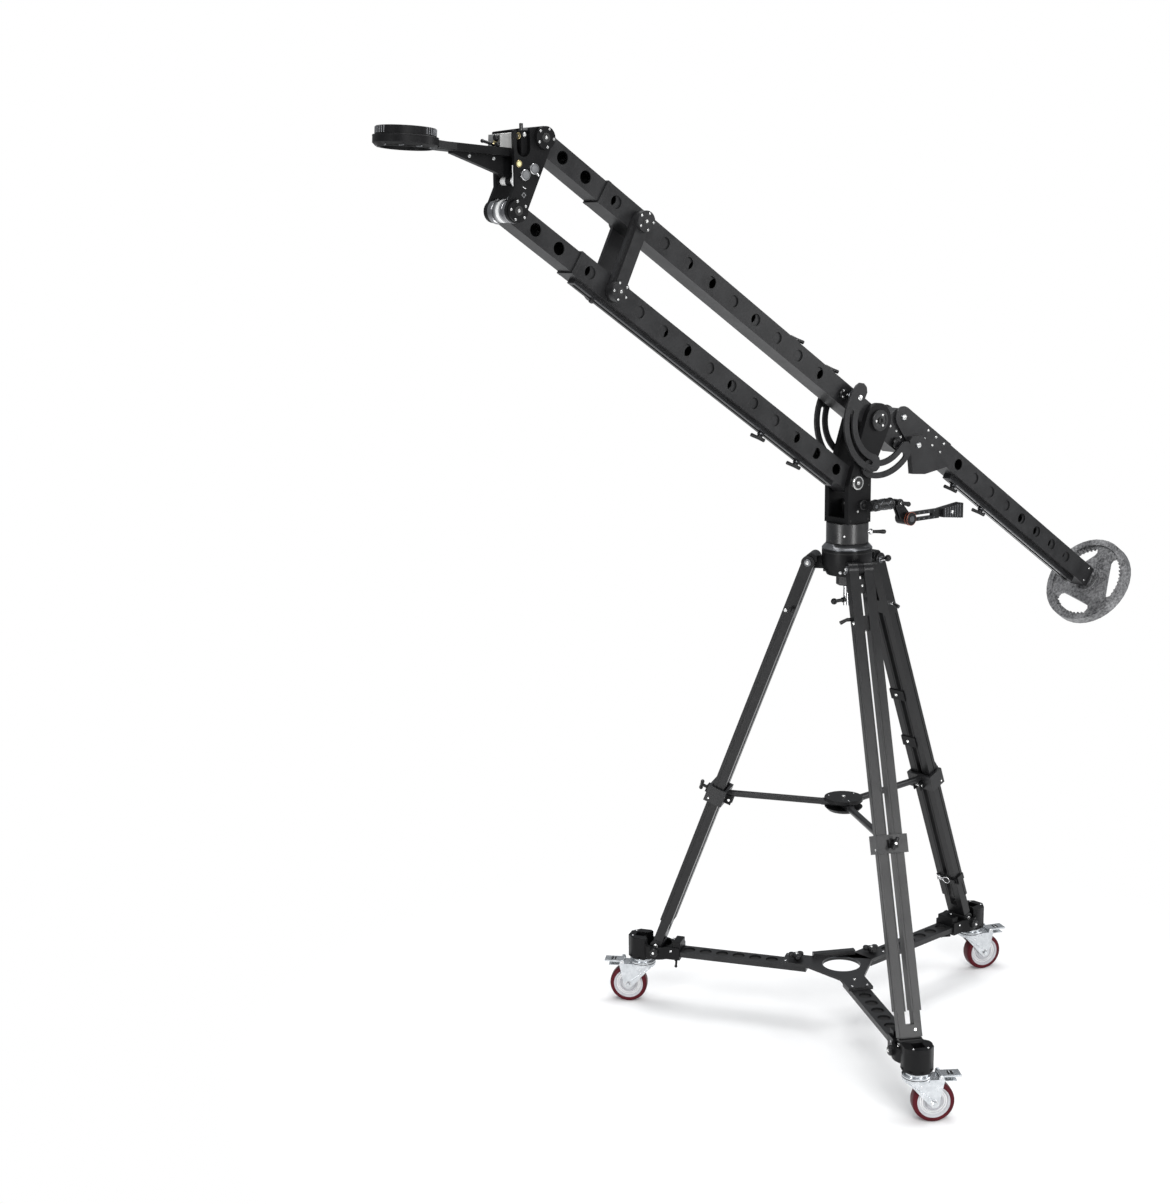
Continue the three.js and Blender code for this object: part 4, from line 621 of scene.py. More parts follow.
def dress_collar(place):
    """The clamp knob on the outside of a spreader collar, and the hinge lug inside it."""
    reach = HINGE_REACH + (FOOT_REACH - HINGE_REACH) * (HINGE_RISE - COLLAR_RISE) / (HINGE_RISE - FOOT_RISE)
    middle = arm_frame(place) @ Vector((reach, 0, COLLAR_RISE))
    turn = frame_at(middle, turned_z(ARMS[place]) @ turned_y(-LEG_TILT))
    knob = Shape(turn, ["plastic", "screw", "casting", "steel"])
    knob.box((24, -11, -10), (33, 11, 10), "casting")
    knob.rod((32, 0, 0), (46, 0, 0), 4.2, "plastic", sides=24)
    bar = [(0, -17), (4.2, -16), (5.2, -13), (4.0, 0), (5.2, 13), (4.2, 16), (0, 17)]
    knob.lathe(bar, (48, 0, 0), (0, 0.5, 0.87), "plastic", sides=28)
    bolt(knob, (51.6, 0, 0), X_AXIS, 3.4, 1.4)
    for side in (-1, 1):
        bolt(knob, (14, side * 38.6, -12), (0, side, 0), 2.6, 1.2)
    knob.box((-42, -12, -16), (-24, -8.4, 8), "casting")
    knob.box((-42, 8.4, -16), (-24, 12, 8), "casting")
    knob.rod((-34, -13.5, -4), (-34, 13.5, -4), 3.6, "screw", sides=24)
    knob.finish("collar.knob." + place, "spreader", bevel=0.6)


def dress_strap():
    """The strap round the right leg, with its buckle and its snap hook, and the brackets of the handle."""
    strap = Shape(leg_frame("right"), ["plastic", "steel", "screw", "casting"])
    low, high = -1002, -984
    for x in (-17, 15):
        strap.box((x, -33, low), (x + 2, 33, high), "plastic")
    for y in (-33, 31):
        strap.box((-17, y, low), (17, y + 2, high), "plastic")
    strap.box((-12, -37, low - 3), (8, -32.5, high + 3), "plastic")
    strap.box((-22, -29, low + 2), (-16.5, -15, high - 2), "plastic")
    wire(strap, (-21, -2, -993), (1, 0.2, 0), 9.5, 1.4, "steel")
    wire(strap, (-21, 20, -990), (1, -0.3, 0.2), 7.5, 1.4, "steel")
    strap.rod((-21, 5, -986), (-21, 30, -1000), 1.4, "steel", sides=16)
    strap.rod((-21, 6, -1000), (-21, 28, -984), 1.4, "steel", sides=16)
    for z in (-400, -545):
        strap.box((-18, -12, z - 15), (-14.8, 34, z + 15), "casting")
        strap.box((-18, 30.8, z - 15), (12, 34, z + 15), "casting")
        bolt(strap, (-18, 14, z), (-1, 0, 0), 4.2, 1.8)
    strap.finish("leg.strap", "leg_upper_right", bevel=0.5)


def dress_spreader():
    """The hub in the middle, with a screw on top and one for each arm."""
    refine("spreader_hub", "casting", bevel=1.2)
    top = Shape(FLOOR, ["screw", "dark", "steel"])
    bolt(top, (0, 0, 620.3), Z_AXIS, 5.0, 2.4)
    for angle in ARMS.values():
        bolt(top, polar(38, angle, 620.0), Z_AXIS, 2.4, 0.9, "steel")
    top.finish("spreader.screws", "spreader")


def dress_feet():
    """A screw on each side of the foot in its cup, and one in its outer face."""
    for place in ARMS:
        foot = Shape(leg_frame(place), ["screw", "plastic"])
        for side in (-1, 1):
            bolt(foot, (0, side * 28.2, -LEG_LENGTH), (0, side, 0), 6.2, 2.0)
        bolt(foot, (12.3, 12, -LEG_LENGTH + 34), X_AXIS, 3.2, 1.6)
        foot.finish("foot.screws." + place, "leg_lower_" + place)


# Tripod head, pan head and yoke
def dress_crown():
    """The cast bowl under the pan ring, its lugs and screws, and the tie-down screw."""
    refine("tripod_crown", "casting", bevel=1.0)
    crown = Shape(FLOOR, ["casting", "screw", "steel", "dark"])
    band(crown, ORIGIN, Z_AXIS, 60.5, 62.3, 1254.5, 1255.7, "dark", sides=96, edge=0.2)
    for angle in (-150, -138, -95, -20, 30, 100, 150):
        look = "steel" if angle < -120 else "dark"
        bolt(crown, polar(55.5, angle, 1209), polar(1, angle, 0), 4.4, 3.6, look)
    crown.finish("crown.screws", "crown")
    tie = Shape(FLOOR, ["steel", "plastic"])
    tie.rod((0, 0, 1117.1), (0, 0, 1222), 8, "steel", sides=40)
    nut = [(8.2, 1169.8), (24, 1169.8), (26, 1171.8), (26, 1194), (24.5, 1196.6), (8.2, 1196.6)]
    tie.lathe(nut, ORIGIN, Z_AXIS, "plastic", sides=8, closed=True)
    tie.rod((-41, 0, 1132), (8, 0, 1132), 4.4, "plastic", sides=28)
    tie.rod((-14, 0, 1132), (0, 0, 1132), 6.4, "plastic", sides=28)
    tie.ball((-42, 0, 1132), 8, "plastic")
    tie.finish("tie.down", "tie_down", smooth=35, bevel=0.4, replaces=("tie_down_handle",))


def dress_pan():
    """The pan's rings and screws, and its lock lever."""
    refine("pan_base", "grey", bevel=0.8)
    refine("pan_hub", "gloss", bevel=0.9)
    hub = Shape(FLOOR, ["satin", "screw", "dark"])
    band(hub, ORIGIN, Z_AXIS, 61, 62.2, 1262.6, 1264.4, "satin", sides=96, edge=0.3)
    band(hub, ORIGIN, Z_AXIS, 51, 52.3, 1278.4, 1279.6, "dark", sides=96, edge=0.3)
    for angle in (-142, -22, 98):
        bolt(hub, polar(51.7, angle, 1298), polar(1, angle, 0), 2.2, 0.9)
    hub.finish("pan.screws", "pan_head")
    lever_frame = frame_at(PAN, turned_z(-44))
    lever = Shape(lever_frame, ["plastic", "steel"])
    lever.rod((40, 0, 1303), (66, 0, 1303), 4.0, "steel", sides=28)
    lever.lathe([(6.4, 0), (7.2, 0.8), (7.2, 5.6), (5.6, 7.6)], (54, 0, 1303), X_AXIS, "steel", sides=36)
    grip = [(4.4, 0), (4.0, 6), (4.6, 20), (5.5, 27), (5.2, 32), (3.0, 34.5), (0, 35)]
    lever.lathe(grip, (60, 0, 1303), X_AXIS, "plastic", sides=36)
    lever.finish("pan.lever", "pan_lock", replaces=("pan_lock_lever",))


YOKE_FACE = 41.5


def dress_yoke():
    """A thick yoke with bright screws, a white ring round the lower axle and a cap on the upper one."""
    refine("yoke", "casting", bevel=1.4)
    screws = Shape(FLOOR, ["screw", "dark", "steel", "plastic", "satin"])
    bolt(screws, (8, 14, 1371), (-1, 0, 0), 5.4, 3.0)
    for side in (NEAR, FAR):
        out = (0, side, 0)
        face = side * YOKE_FACE
        for x, z in ((-6, 1358), (-30, 1336), (29, 1336), (30, 1420)):
            bolt(screws, (x, face, z), out, 2.7, 1.1, "screw" if x == -6 else "dark")
    disc(screws, (8, -YOKE_FACE, 1373), NEARWARDS, 12.5, 8.0, "plastic", edge=2.0)
    bolt(screws, (8, -YOKE_FACE - 8, 1373), NEARWARDS, 3.6, 1.4, "dark")
    screws.finish("yoke.screws", "pan_head")
    lower = Shape(FLOOR, ["screw", "dark", "steel"])
    upper = Shape(UPPER, ["anodised", "screw", "dark", "gloss"])
    for side in (NEAR, FAR):
        out = (0, side, 0)
        face = side * 47.3
        band(lower, (-11, face, 1429), out, 13.6, 17.1, -5.4, 1.1, "screw", sides=64, edge=0.8)
        disc(lower, (-11, face, 1429), out, 13.8, 0.2, "dark", edge=0.2)
        bolt(lower, (-11, face, 1429), out, 4.8, 2.4)
        band(upper, (0, face, 0), out, 17.5, 25.8, -5.2, 1.4, "anodised", edge=1.2)
        disc(upper, (0, face, 0), out, 17.8, 0.5, "gloss", edge=0.2)
        for place in ring_of((0, 0), 14.6, 3, 95, face + side * 0.4):
            bolt(upper, place, out, 3.0, 1.5)
        nut = [(5.2, 0.3), (5.6, 3.4), (8.6, 3.4), (9.4, 2.6), (9.4, -0.3)]
        upper.lathe(nut, (0, face, 0), out, "dark", sides=6)
    lower.rod((-11, -47, 1429), (-11, 47, 1429), 12, "steel", sides=40)
    lower.finish("axle.lower", "pan_head", replaces=("lower_axle",))
    upper.rod((0, -47, 0), (0, 47, 0), 12, "anodised", sides=40)
    upper.finish("axle.upper", "pan_head", replaces=("upper_axle",))


# Boom: X runs down the boom towards the counterweight, and Z is square to it
BEAM_FACE = 27.0
ARC_FACE = 54.0
LINK_FACE = 53.5
LINK_REACH = -871
# The angle of the first screw on the caps of the upper and the lower pivots
UPPER_SCREWS, LOWER_SCREWS = 63, 27


def pivot_cap(shape, centre, phase, side, face, reach, screw, ring):
    """Five bright screws round a bright axle end in a dark ring, on the cap of a pivot."""
    out = (0, side, 0)
    x, z = centre
    middle = (x, side * face, z)
    for place in ring_of(centre, reach, 5, phase * -side, side * face):
        bolt(shape, place, out, screw, 1.3)
    band(shape, middle, out, 3.6, ring, -0.2, 0.7, "dark", sides=48)
    bolt(shape, middle, out, 3.5, 2.0)


def dress_links():
    """The two side plates that join the beams, with screws on their caps."""
    for node in ("mid_link_near", "mid_link_far"):
        refine(node, "anodised", bevel=0.9)
    upper = UPPER @ Vector((LINK_REACH, 0, 0))
    lower = LOWER @ Vector((LINK_REACH, 0, 0))
    drop = (lower - upper) * 1000
    screws = Shape(frame_at(upper), ["screw", "dark"])
    for side in (NEAR, FAR):
        pivot_cap(screws, (0, 0), UPPER_SCREWS, side, LINK_FACE, 18.6, 2.6, 9.6)
        pivot_cap(screws, (drop.x, drop.z), LOWER_SCREWS, side, LINK_FACE, 18.6, 2.6, 9.6)
    screws.finish("link.screws", "mid_link")


def dress_beams():
    """Lips at the beams' mouths, small screws, dark rings of painted shade round the holes, and strips on
    the rails.
    """
    for frame_of, body, label in ((UPPER, "boom", "upper"), (LOWER, "lower_boom", "lower")):
        trim = Shape(frame_of, ["anodised", "screw", "dark", "satin"])
        for side in (-1, 1):
            trim.box((-987.3, side * 27.1 - 0.3, -27.4), (-978, side * 27.1 + 0.3, 27.4), "anodised")
            trim.box((-987.3, -27.4, side * 27.1 - 0.3), (-978, 27.4, side * 27.1 + 0.3), "anodised")
            trim.box((-978, side * 27.0 - 0.3, -27.1), (-977, side * 27.0 + 0.2, 27.1), "dark")
            for reach in (-930, -850, -610, -370):
                bolt(trim, (reach, side * BEAM_FACE, -21), (0, side, 0), 1.6, 0.5, "dark")
            # A dark ring on the edge of each hole: painted shade round the hole
            for reach in OUTER_HOLES[2:9 if label == "upper" else 12]:
                middle = (reach, side * BEAM_FACE, 0)
                band(trim, middle, (0, side, 0), 13.7, 14.7, -0.4, 0.15, "dark", edge=0.1)
        if label == "upper":
            for side in (-1, 1):
                trim.box((-960, side * 8.2 - 1.1, 26.6), (-46, side * 8.2 + 1.1, 28.2), "satin")
        else:
            for side in (-1, 1):
                trim.box((-962, side * 12.6 - 0.8, -36), (-44, side * 12.6 + 0.2, -33.6), "satin")
            disc(trim, (-894, 0, -36), (0, 0, -1), 5.4, 7.0, "dark", edge=1.0)
        trim.finish("beam.trim." + label, body, bevel=0.3)


def lock_lever(name, frame_of, reach, start, side, rise=0):
    """A clamp screw with a grey collar and a black cross bar."""
    lever = Shape(frame_of, ["plastic", "satin", "steel"])
    out = (0, 0, side)
    end = (reach, 0, rise + (side * start + side * 13))
    lever.rod((reach, 0, rise + side * 22.4), end, 3.4, "plastic", sides=24)
    collar = [(7.6, 0), (8.5, 0.8), (8.5, 4.6), (6.4, 6)]
    lever.lathe(collar, (reach, 0, rise + side * start), out, "satin", sides=32)
    nut = [(6, 0), (7, 2), (7, 5), (5.6, 7.4), (0, 7.6)]
    lever.lathe(nut, (reach, 0, rise + side * (start + 5.6)), out, "plastic", sides=32)
    bar = [(0, -22), (3.6, -21.4), (4.6, -19), (4.0, 0), (4.6, 13), (3.6, 15.4), (0, 16)]
    lever.lathe(bar, end, (0.75, -0.66, 0), "plastic", sides=28)
    lever.finish("look." + name, name, replaces=(name,))


def dress_levers():
    for end, reach in (("front", -305), ("rear", -168)):
        lock_lever("upper_lock_lever_" + end, UPPER, reach, 28.3, 1)
        lock_lever("lower_lock_lever_" + end, LOWER, reach, 36.6, -1)
    for end, reach in (("front", 370), ("rear", 500)):
        lock_lever("weight_arm_lock_lever_" + end, UPPER, reach, 39.9, -1, REAR_RISE)


def dress_arcs():
    """The two slotted quadrants with painted shade in their slots, their bolts, and the round knob that
    clamps them.
    """
    for node in ("tilt_arc_near", "tilt_arc_far"):
        refine(node, "anodised", bevel=0.8)
    arcs = Shape(UPPER, ["screw", "dark", "satin", "plastic"])
    for side in (NEAR, FAR):
        out = (0, side, 0)
        face = side * ARC_FACE
        bolt(arcs, (-98, face, 8), out, 6.6, 2.6)
        # Two dark dots joined by a dark strip on each quadrant's face: painted shade in the slot
        for z in (-2, -15):
            disc(arcs, (-82, face, z), out, 2.0, 0.3, "dark", edge=0.1)
        arcs.box((-84, min(face, face + side * 0.35), -15), (-80, max(face, face + side * 0.35), -2), "dark")
        disc(arcs, (-97, side * 33, 8), out, 14.5, 9.0, "plastic", edge=2.5)
        disc(arcs, (-97, side * 27, 8), out, 17.5, 5.0, "satin", edge=1.5)
        for place in ring_of((-97, 8), 14.6, 4, 40, side * 32.0):
            bolt(arcs, place, out, 1.9, 1.0)
    knob = (-131, -BEAM_FACE, -2)
    disc(arcs, knob, NEARWARDS, 12.5, 8.0, "plastic", edge=2.0)
    for place in ring_of((-131, -2), 8.4, 3, 20, -BEAM_FACE - 7.6):
        bolt(arcs, place, NEARWARDS, 2.2, 1.4)
    arcs.finish("arc.bolts", "boom", bevel=0.4)


# Levelling head: X and Z are measured from the upper pivot, and the near plate faces -Y
HEAD_FACE = -40.0
CAP_FACE = 48.5
HEAD_LOWER = (-72.0, -147.0)


def dress_head_plates():
    """The two side plates, the slot cut in the near one, and the screws on their caps."""
    near = Shape(HEAD)
    near.box((-68, -45, -22), (-34.5, -30, 40))
    near.rod((-51.25, -45, -22), (-51.25, -30, -22), 16.75, sides=40)
    refine("head_bracket", "casting", bevel=0.9, cuts=near)
    caps = Shape(HEAD, ["screw", "dark"])
    for side in (NEAR, FAR):
        pivot_cap(caps, (0, 0), UPPER_SCREWS, side, CAP_FACE, 19.3, 2.7, 10.0)
        pivot_cap(caps, HEAD_LOWER, LOWER_SCREWS, side, CAP_FACE, 19.3, 2.7, 10.0)
    caps.finish("head.screws", "head")


def dress_head_fittings():
    """The bubble, the two clamp discs, the pin and the square hole on the near plate, with painted shade in
    it.
    """
    fittings = Shape(HEAD, ["steel", "brass", "vial", "dark"])
    out = NEARWARDS
    band(fittings, (-64.1, HEAD_FACE, -52.4), out, 5.2, 7.2, -0.3, 2.2, "brass", sides=48)
    disc(fittings, (-64.1, HEAD_FACE, -52.4), out, 5.3, 1.6, "vial")
    for x, z, tail in ((-49.2, -75.0, (-10.5, -3.0)), (-27.0, -62.6, (8.5, -11.5))):
        disc(fittings, (x, HEAD_FACE, z), out, 11.4, 4.2, "steel", edge=1.0)
        band(fittings, (x, HEAD_FACE - 4.2, z), out, 8.2, 8.9, -0.1, 0.35, "dark", sides=48, edge=0.1)
        end = (x + tail[0] * 1.25, HEAD_FACE - 2.2, z + tail[1] * 1.25)
        fittings.rod((x, HEAD_FACE - 2.2, z), end, 1.9, "steel", sides=20)
    fittings.rod((-56.6, HEAD_FACE - 1.2, -98.4), (-49.0, HEAD_FACE - 1.2, -102.6), 1.3, "steel", sides=16)
    for x, depth, z in ((-53.4, HEAD_FACE, -115.2), (-42.0, 31.0, -120.5)):
        corners = [(x - 6, z), (x, z + 6), (x + 6, z), (x, z - 6)]
        inner = [(x - 4.2, z), (x, z + 4.2), (x + 4.2, z), (x, z - 4.2)]
        for i in range(4):
            j = (i + 1) % 4
            edge = [corners[i], corners[j], inner[j], inner[i]]
            fittings.prism(edge, depth - 0.5, depth + 0.2, look="steel")
        # A dark sheet fills each diamond: painted shade in the square hole
        fittings.prism(inner, depth - 0.25, depth + 0.2, look="dark")
    fittings.finish("head.fittings", "head")


def dress_rollers():
    """The roller on the lower pivot with a painted highlight round its middle, the spacers on the tilt pin,
    and the rings at the bar's screw.
    """
    roller = Shape(HEAD, ["chrome", "dark", "pearl", "steel"])
    pivot = (HEAD_LOWER[0], 0, HEAD_LOWER[1])
    profile = [
        (21, -30.5), (24.6, -30.5), (25.4, -29.7), (25.4, -23), (24.4, -22.4), (23.4, -21.8), (23.4, -20),
        (24.6, -19.4), (24.6, 12.4), (23.6, 13), (23.6, 17), (24.8, 17.6), (26.4, 18.2), (26.6, 29.7),
        (25.8, 30.5), (21, 30.5),
    ]
    roller.lathe(profile, pivot, Y_AXIS, "chrome", sides=96, closed=True)
    # A white band round the roller's middle between two grey steel bands: a painted highlight
    band(roller, pivot, Y_AXIS, 23.6, 24.75, -9, 2, "pearl", sides=96, edge=0.1)
    for low in (-14, 2):
        band(roller, pivot, Y_AXIS, 23.6, 24.72, low, low + 5, "steel", sides=96, edge=0.1)
    band(roller, pivot, Y_AXIS, 23.0, 23.9, 13.2, 16.8, "dark", sides=96, edge=0.1)
    roller.finish("head.roller", "lower_extension")
    spacer = Shape(HEAD, ["pearl"])
    for low, high in ((-30.6, -8.6), (8.6, 30.6)):
        band(spacer, TILT_PIN, Y_AXIS, 7.0, 8.2, low, high, "pearl", sides=48)
    band(spacer, TILT_PIN, Y_AXIS, 7.0, 13.6, -30.7, -20.5, "pearl", sides=64, edge=1.0)
    spacer.box((-75.2, -34.5, -97), (-74.6, -31.4, -55), "pearl")
    spacer.finish("head.spacer", "head")
    ring = Shape(HEAD, ["brass", "screw", "steel"])
    band(ring, (-34.2, 0, 4), X_AXIS, 4.8, 10.6, 0, 2.6, "brass", sides=48)
    ring.rod((-49, -22, 4), (-53.4, -22, 4), 3.2, "steel", sides=24)
    band(ring, (-50, -22, 4), (-1, 0, 0), 3.0, 7.4, -0.3, 2.8, "brass", sides=40)
    bolt(ring, (-43, -30.8, 6), NEARWARDS, 4.2, 2.6)
    ring.finish("head.ring", "head")


def dress_lever():
    """The screw with the cross bar behind the camera arm."""
    lever = Shape(HEAD, ["steel", "gloss"])
    lever.rod((-55, 0, 4), (-29, 0, 4), 4.0, "gloss")
    bar = [(3.2, -27), (4, -26), (4, 26), (3.2, 27)]
    lever.lathe(bar, (-29, 0, 4), Z_AXIS, "gloss", sides=32)
    lever.lathe([(5.2, 0), (5.6, 0.6), (5.6, 4.6)], (-31.2, 0, 4), X_AXIS, "gloss", sides=32)
    lever.finish("head.lever", "head_lever", replaces=("head_tilt_lever",))


# Camera arm: X and Z are measured from the tilt pin, along the arm
BOWL_X = -256.0


def dress_bowl():
    """The bowl ring with its two grooved stretches, and the ribs on its underside."""
    refine("camera_arm", "casting", bevel=0.8)
    lips = Shape(PLATFORM, ["casting", "satin", "grey"])
    for side in (-1, 1):
        for i in range(16):
            angle = radians(-122.0 + side * (44 + 6.2 * i))
            x, y = BOWL_X + 60.6 * cos(angle), 60.6 * sin(angle)
            lips.rod((x, y, 68.5), (x, y, 82.2), 1.4, "grey", sides=12)
    band(lips, (BOWL_X, 0, 0), Z_AXIS, 49.7, 52.0, 81.0, 83.6, "satin", sides=96)
    band(lips, (BOWL_X, 0, 0), Z_AXIS, 60.2, 66.4, 63.4, 66.1, "casting", sides=96)
    band(lips, (BOWL_X, 0, 0), Z_AXIS, 51.0, 55.5, 43.4, 45.4, "casting", sides=96)
    for i in range(10):
        angle = radians(18 + 36 * i)
        start = (BOWL_X + 55.0 * cos(angle - 0.14), 55.0 * sin(angle - 0.14), 44.8)
        end = (BOWL_X + 61.0 * cos(angle + 0.04), 61.0 * sin(angle + 0.04), 45.6)
        lips.rod(start, end, 1.3, "grey", sides=10)
    for side in (-1, 1):
        corners = [(-196, side * 22.6), (-148, side * 23.6), (-204, side * 41)]
        lips.prism(corners, 48.4, 62.6, plane="xy", look="casting")
    lips.finish("bowl.lips", "camera_platform", bevel=0.5)


def dress_clamp_block():
    """The bare block with its two small knobs and its wing lever, and the screws of the gusset."""
    refine("head_block", "aluminium", bevel=0.8)
    knobs = Shape(PLATFORM, ["plastic", "brass", "steel", "screw"])
    forward = (-1, 0, 0)
    disc(knobs, (-46, -6.5, 74), forward, 4.2, 5.0, "brass")
    large = [(5.6, 0), (6.6, 1.2), (6.6, 6.4), (5.4, 8), (0, 8.4)]
    small = [(4.2, 0), (5.2, 1), (5.2, 5.4), (4.2, 6.6), (0, 7)]
    knobs.lathe(large, (-46, -12, 82.5), forward, "plastic", sides=40)
    knobs.lathe(small, (-46, -18, 69.5), forward, "plastic", sides=40)
    knobs.rod((-46.2, -2, 70.5), (-54, -2, 70.5), 4.4, "steel", sides=28)
    knobs.rod((-53.5, -5, 70.2), (-54.5, 31, 77.6), 3.2, "plastic", sides=20)
    knobs.ball((-54.5, 31, 77.6), 4.2, "plastic")
    for x in (-110.2, -50.8):
        for side in (NEAR, FAR):
            bolt(knobs, (x, 8 * side, 41), (0, side, 0), 3.7, 1.8)
    knobs.finish("clamp.knobs", "camera_platform")


# Rear arm and counterweight, in the upper beam's frame
CHEEK_FACE = 33.0
DRAG_FACE = 47.5
WEIGHT_X = 1012.0


def dress_rear_arm():
    """The plates' bolts and screws, the knob by the pivot, the rail's bright strips and the end cap."""
    arm = Shape(UPPER, ["screw", "dark", "satin", "plastic", "anodised", "steel"])
    for side in (NEAR, FAR):
        out = (0, side, 0)
        for x, z, face in ((79, 53, CHEEK_FACE), (151, 15, DRAG_FACE if side == NEAR else CHEEK_FACE)):
            disc(arm, (x, side * face, z), out, 9.6, 1.4, "satin", edge=0.6)
            bolt(arm, (x, side * (face + 1.2), z), out, 6.8, 3.2)
        for x in (174, 208.5, 243):
            for z in (69, 45):
                bolt(arm, (x, side * CHEEK_FACE, z), out, 3.3, 1.6)
        for x, z in ((55.5, 14), (80.7, 14.2), (102, 9.2)):
            bolt(arm, (x, side * BEAM_FACE, z), out, 3.4, 2.2)
        # A hairline ring on the tube's axis, hidden inside its end
        band(arm, (962, 0, REAR_RISE), X_AXIS, 0.5, 1.0, 0, 0.1, "dark", sides=12, edge=0.01)
        for z in (-18, 18):
            bolt(arm, (960, side * BEAM_FACE, REAR_RISE + z), out, 2.4, 1.0)
    knob = [(12, 0), (13.5, 2), (13.5, 8), (11, 10.5), (4, 10.5), (3.4, 9.4)]
    arm.lathe(knob, (95, -BEAM_FACE, -11), NEARWARDS, "plastic", sides=48)
    for side in (-1, 1):
        outer, inner = side * 12.4, side * 6.6
        arm.box((336, outer - 0.8, REAR_RISE - 39.2), (934, outer + 0.2, REAR_RISE - 36.8), "satin")
        arm.box((354, inner - 0.9, REAR_RISE - 39.6), (923, inner + 0.9, REAR_RISE - 38.6), "steel")
    arm.finish("rear.fittings", "boom", bevel=0.4)
    cap = Shape(UPPER, ["plastic", "screw", "steel", "dark"])
    cap.box((969.3, -26.4, REAR_RISE - 26.4), (981.2, 26.4, REAR_RISE + 26.4), "plastic")
    for y in (-19, 19):
        bolt(cap, (981.2, y, REAR_RISE), X_AXIS, 2.6, 1.2)
    band(cap, (981.2, 0, REAR_RISE), X_AXIS, 11.9, 16.0, -0.3, 3.4, "steel", sides=48, edge=0.8)
    cap.finish("rear.cap", "weight_arm", bevel=1.2)


def dress_weight():
    """The plate with its toothed grips, the rings round its hub, and the retaining collar on the pin."""
    dimples = Shape(UPPER)
    for i in range(3):
        for k in range(11):
            # The angles run from the -Z side of the beam towards +Y
            angle = radians(i * 120 - 105.5 - 34 + 6.8 * k)
            y, z = 101 * sin(angle), -101 * cos(angle)
            dimples.rod((990, y, REAR_RISE + z), (1034, y, REAR_RISE + z), 4.3, sides=14)
    refine("counterweight_plate", "iron", bevel=1.6, cuts=dimples)
    rings = Shape(UPPER, ["iron", "steel"])
    for side in (-1, 1):
        face = WEIGHT_X + side * 14
        axis = (side, 0, 0)
        band(rings, (face, 0, REAR_RISE), axis, 31, 36, -0.6, 1.6, "iron", edge=0.7)
        band(rings, (face, 0, REAR_RISE), axis, 13.1, 19, -0.6, 1.0, "iron", sides=48, edge=0.5)
    rings.finish("weight.rings", "counterweight")
    retainer = Shape(UPPER, ["steel", "screw", "plastic"])
    ring = [(12.4, 1026.3), (22.6, 1026.3), (24, 1027.7), (24, 1041), (22.6, 1042.3), (12.4, 1042.3)]
    retainer.lathe(ring, (0, 0, REAR_RISE), X_AXIS, sides=72, closed=True)
    bolt(retainer, (1034, 0, REAR_RISE + 23.8), Z_AXIS, 4.0, 4.0, "plastic")
    retainer.finish("retainer", "retainer", replaces=("weight_retainer",))


# Monitor arm on the near side of the yoke
BAR_DEPTH, BAR_RISE = -62, 1371
KNOB_DEPTH, ELBOW_RISE = -78.2, 1330


def dress_monitor():
    """The lattice on the fixed bar, the hinge knob, the elbow knob and the ribs of the clamp head."""
    base = Shape(FLOOR, ["plastic", "grey", "satin"])
    turns = 12
    for hand in (-1, 1):
        for start in (0, 90, 180, 270):
            points = []
            for i in range(turns + 1):
                angle = radians(start + hand * 150 * i / turns)
                across, up = 13.9 * cos(angle), 13.9 * sin(angle)
                points.append((34 + 50 * i / turns, BAR_DEPTH + across, BAR_RISE + up))
            for a, b in zip(points, points[1:]):
                base.rod(a, b, 0.9, "satin", sides=8)
    for x in (33, 84):
        band(base, (x, BAR_DEPTH, BAR_RISE), X_AXIS, 13.2, 15.0, -1.8, 1.8, "plastic", sides=48)
    base.rod((20, BAR_DEPTH, BAR_RISE), (20, -79, BAR_RISE), 10.5, "plastic", sides=40)
    bolt(base, (20, -79, BAR_RISE), NEARWARDS, 4.2, 1.6, "grey")
    base.finish("monitor.lattice", "pan_head", bevel=0.2)
    link = Shape(FLOOR, ["plastic", "orange", "grey", "screw", "dark"])
    link.lathe([(9.4, 0), (10.6, 1.4), (10.6, 6.4), (9, 8.4)], (106, -70.2, BAR_RISE), NEARWARDS,
               "plastic", sides=14)
    link.rod((106, -76, 1372), (128, -79, 1367), 4.2, "plastic", sides=24, end_radius=5.6)
    link.ball((130, -79.3, 1366.5), 6.4, "plastic")
    bolt(link, (106, -78.6, BAR_RISE), NEARWARDS, 3.0, 1.0)
    link.lathe([(15, 0), (16.8, 1.8), (16.8, 9), (15, 11)], (134, KNOB_DEPTH, ELBOW_RISE), NEARWARDS,
               "plastic", sides=16)
    for depth in (1.8, 9.2):
        wire(link, (134, KNOB_DEPTH - depth, ELBOW_RISE), NEARWARDS, 16.4, 0.45, "orange")
    disc(link, (134, -89.2, ELBOW_RISE), NEARWARDS, 7.4, 0.8, "grey", edge=0.3)
    for x in (164, 182, 200, 218, 236):
        for side in (-1, 1):
            z = ELBOW_RISE + side * 8.0
            link.box((x - 2.2, -67.6, z - 1.8), (x + 2.2, -66.8, z + 1.8), "grey")
    for i in range(7):
        x = 268 + 9 * i
        half = 11.6 + i * 1.25
        link.box((x, -75.0, ELBOW_RISE - half), (x + 2.2, -74.1, ELBOW_RISE + half), "grey")
    bolt(link, (293, -75.2, ELBOW_RISE), NEARWARDS, 4.2, 1.8, "screw")
    link.finish("monitor.details", "monitor_link", bevel=0.3)


# Camera, floor and light
CAMERA_ANGLES = (-36.165, -11.554, -0.878)
CAMERA_PLACE = (-3178.5, -3246.5, 2054.3)
IMAGE_WIDTH = 1170
FOCAL_PIXELS = 1844.84
SENSOR_WIDTH = 36


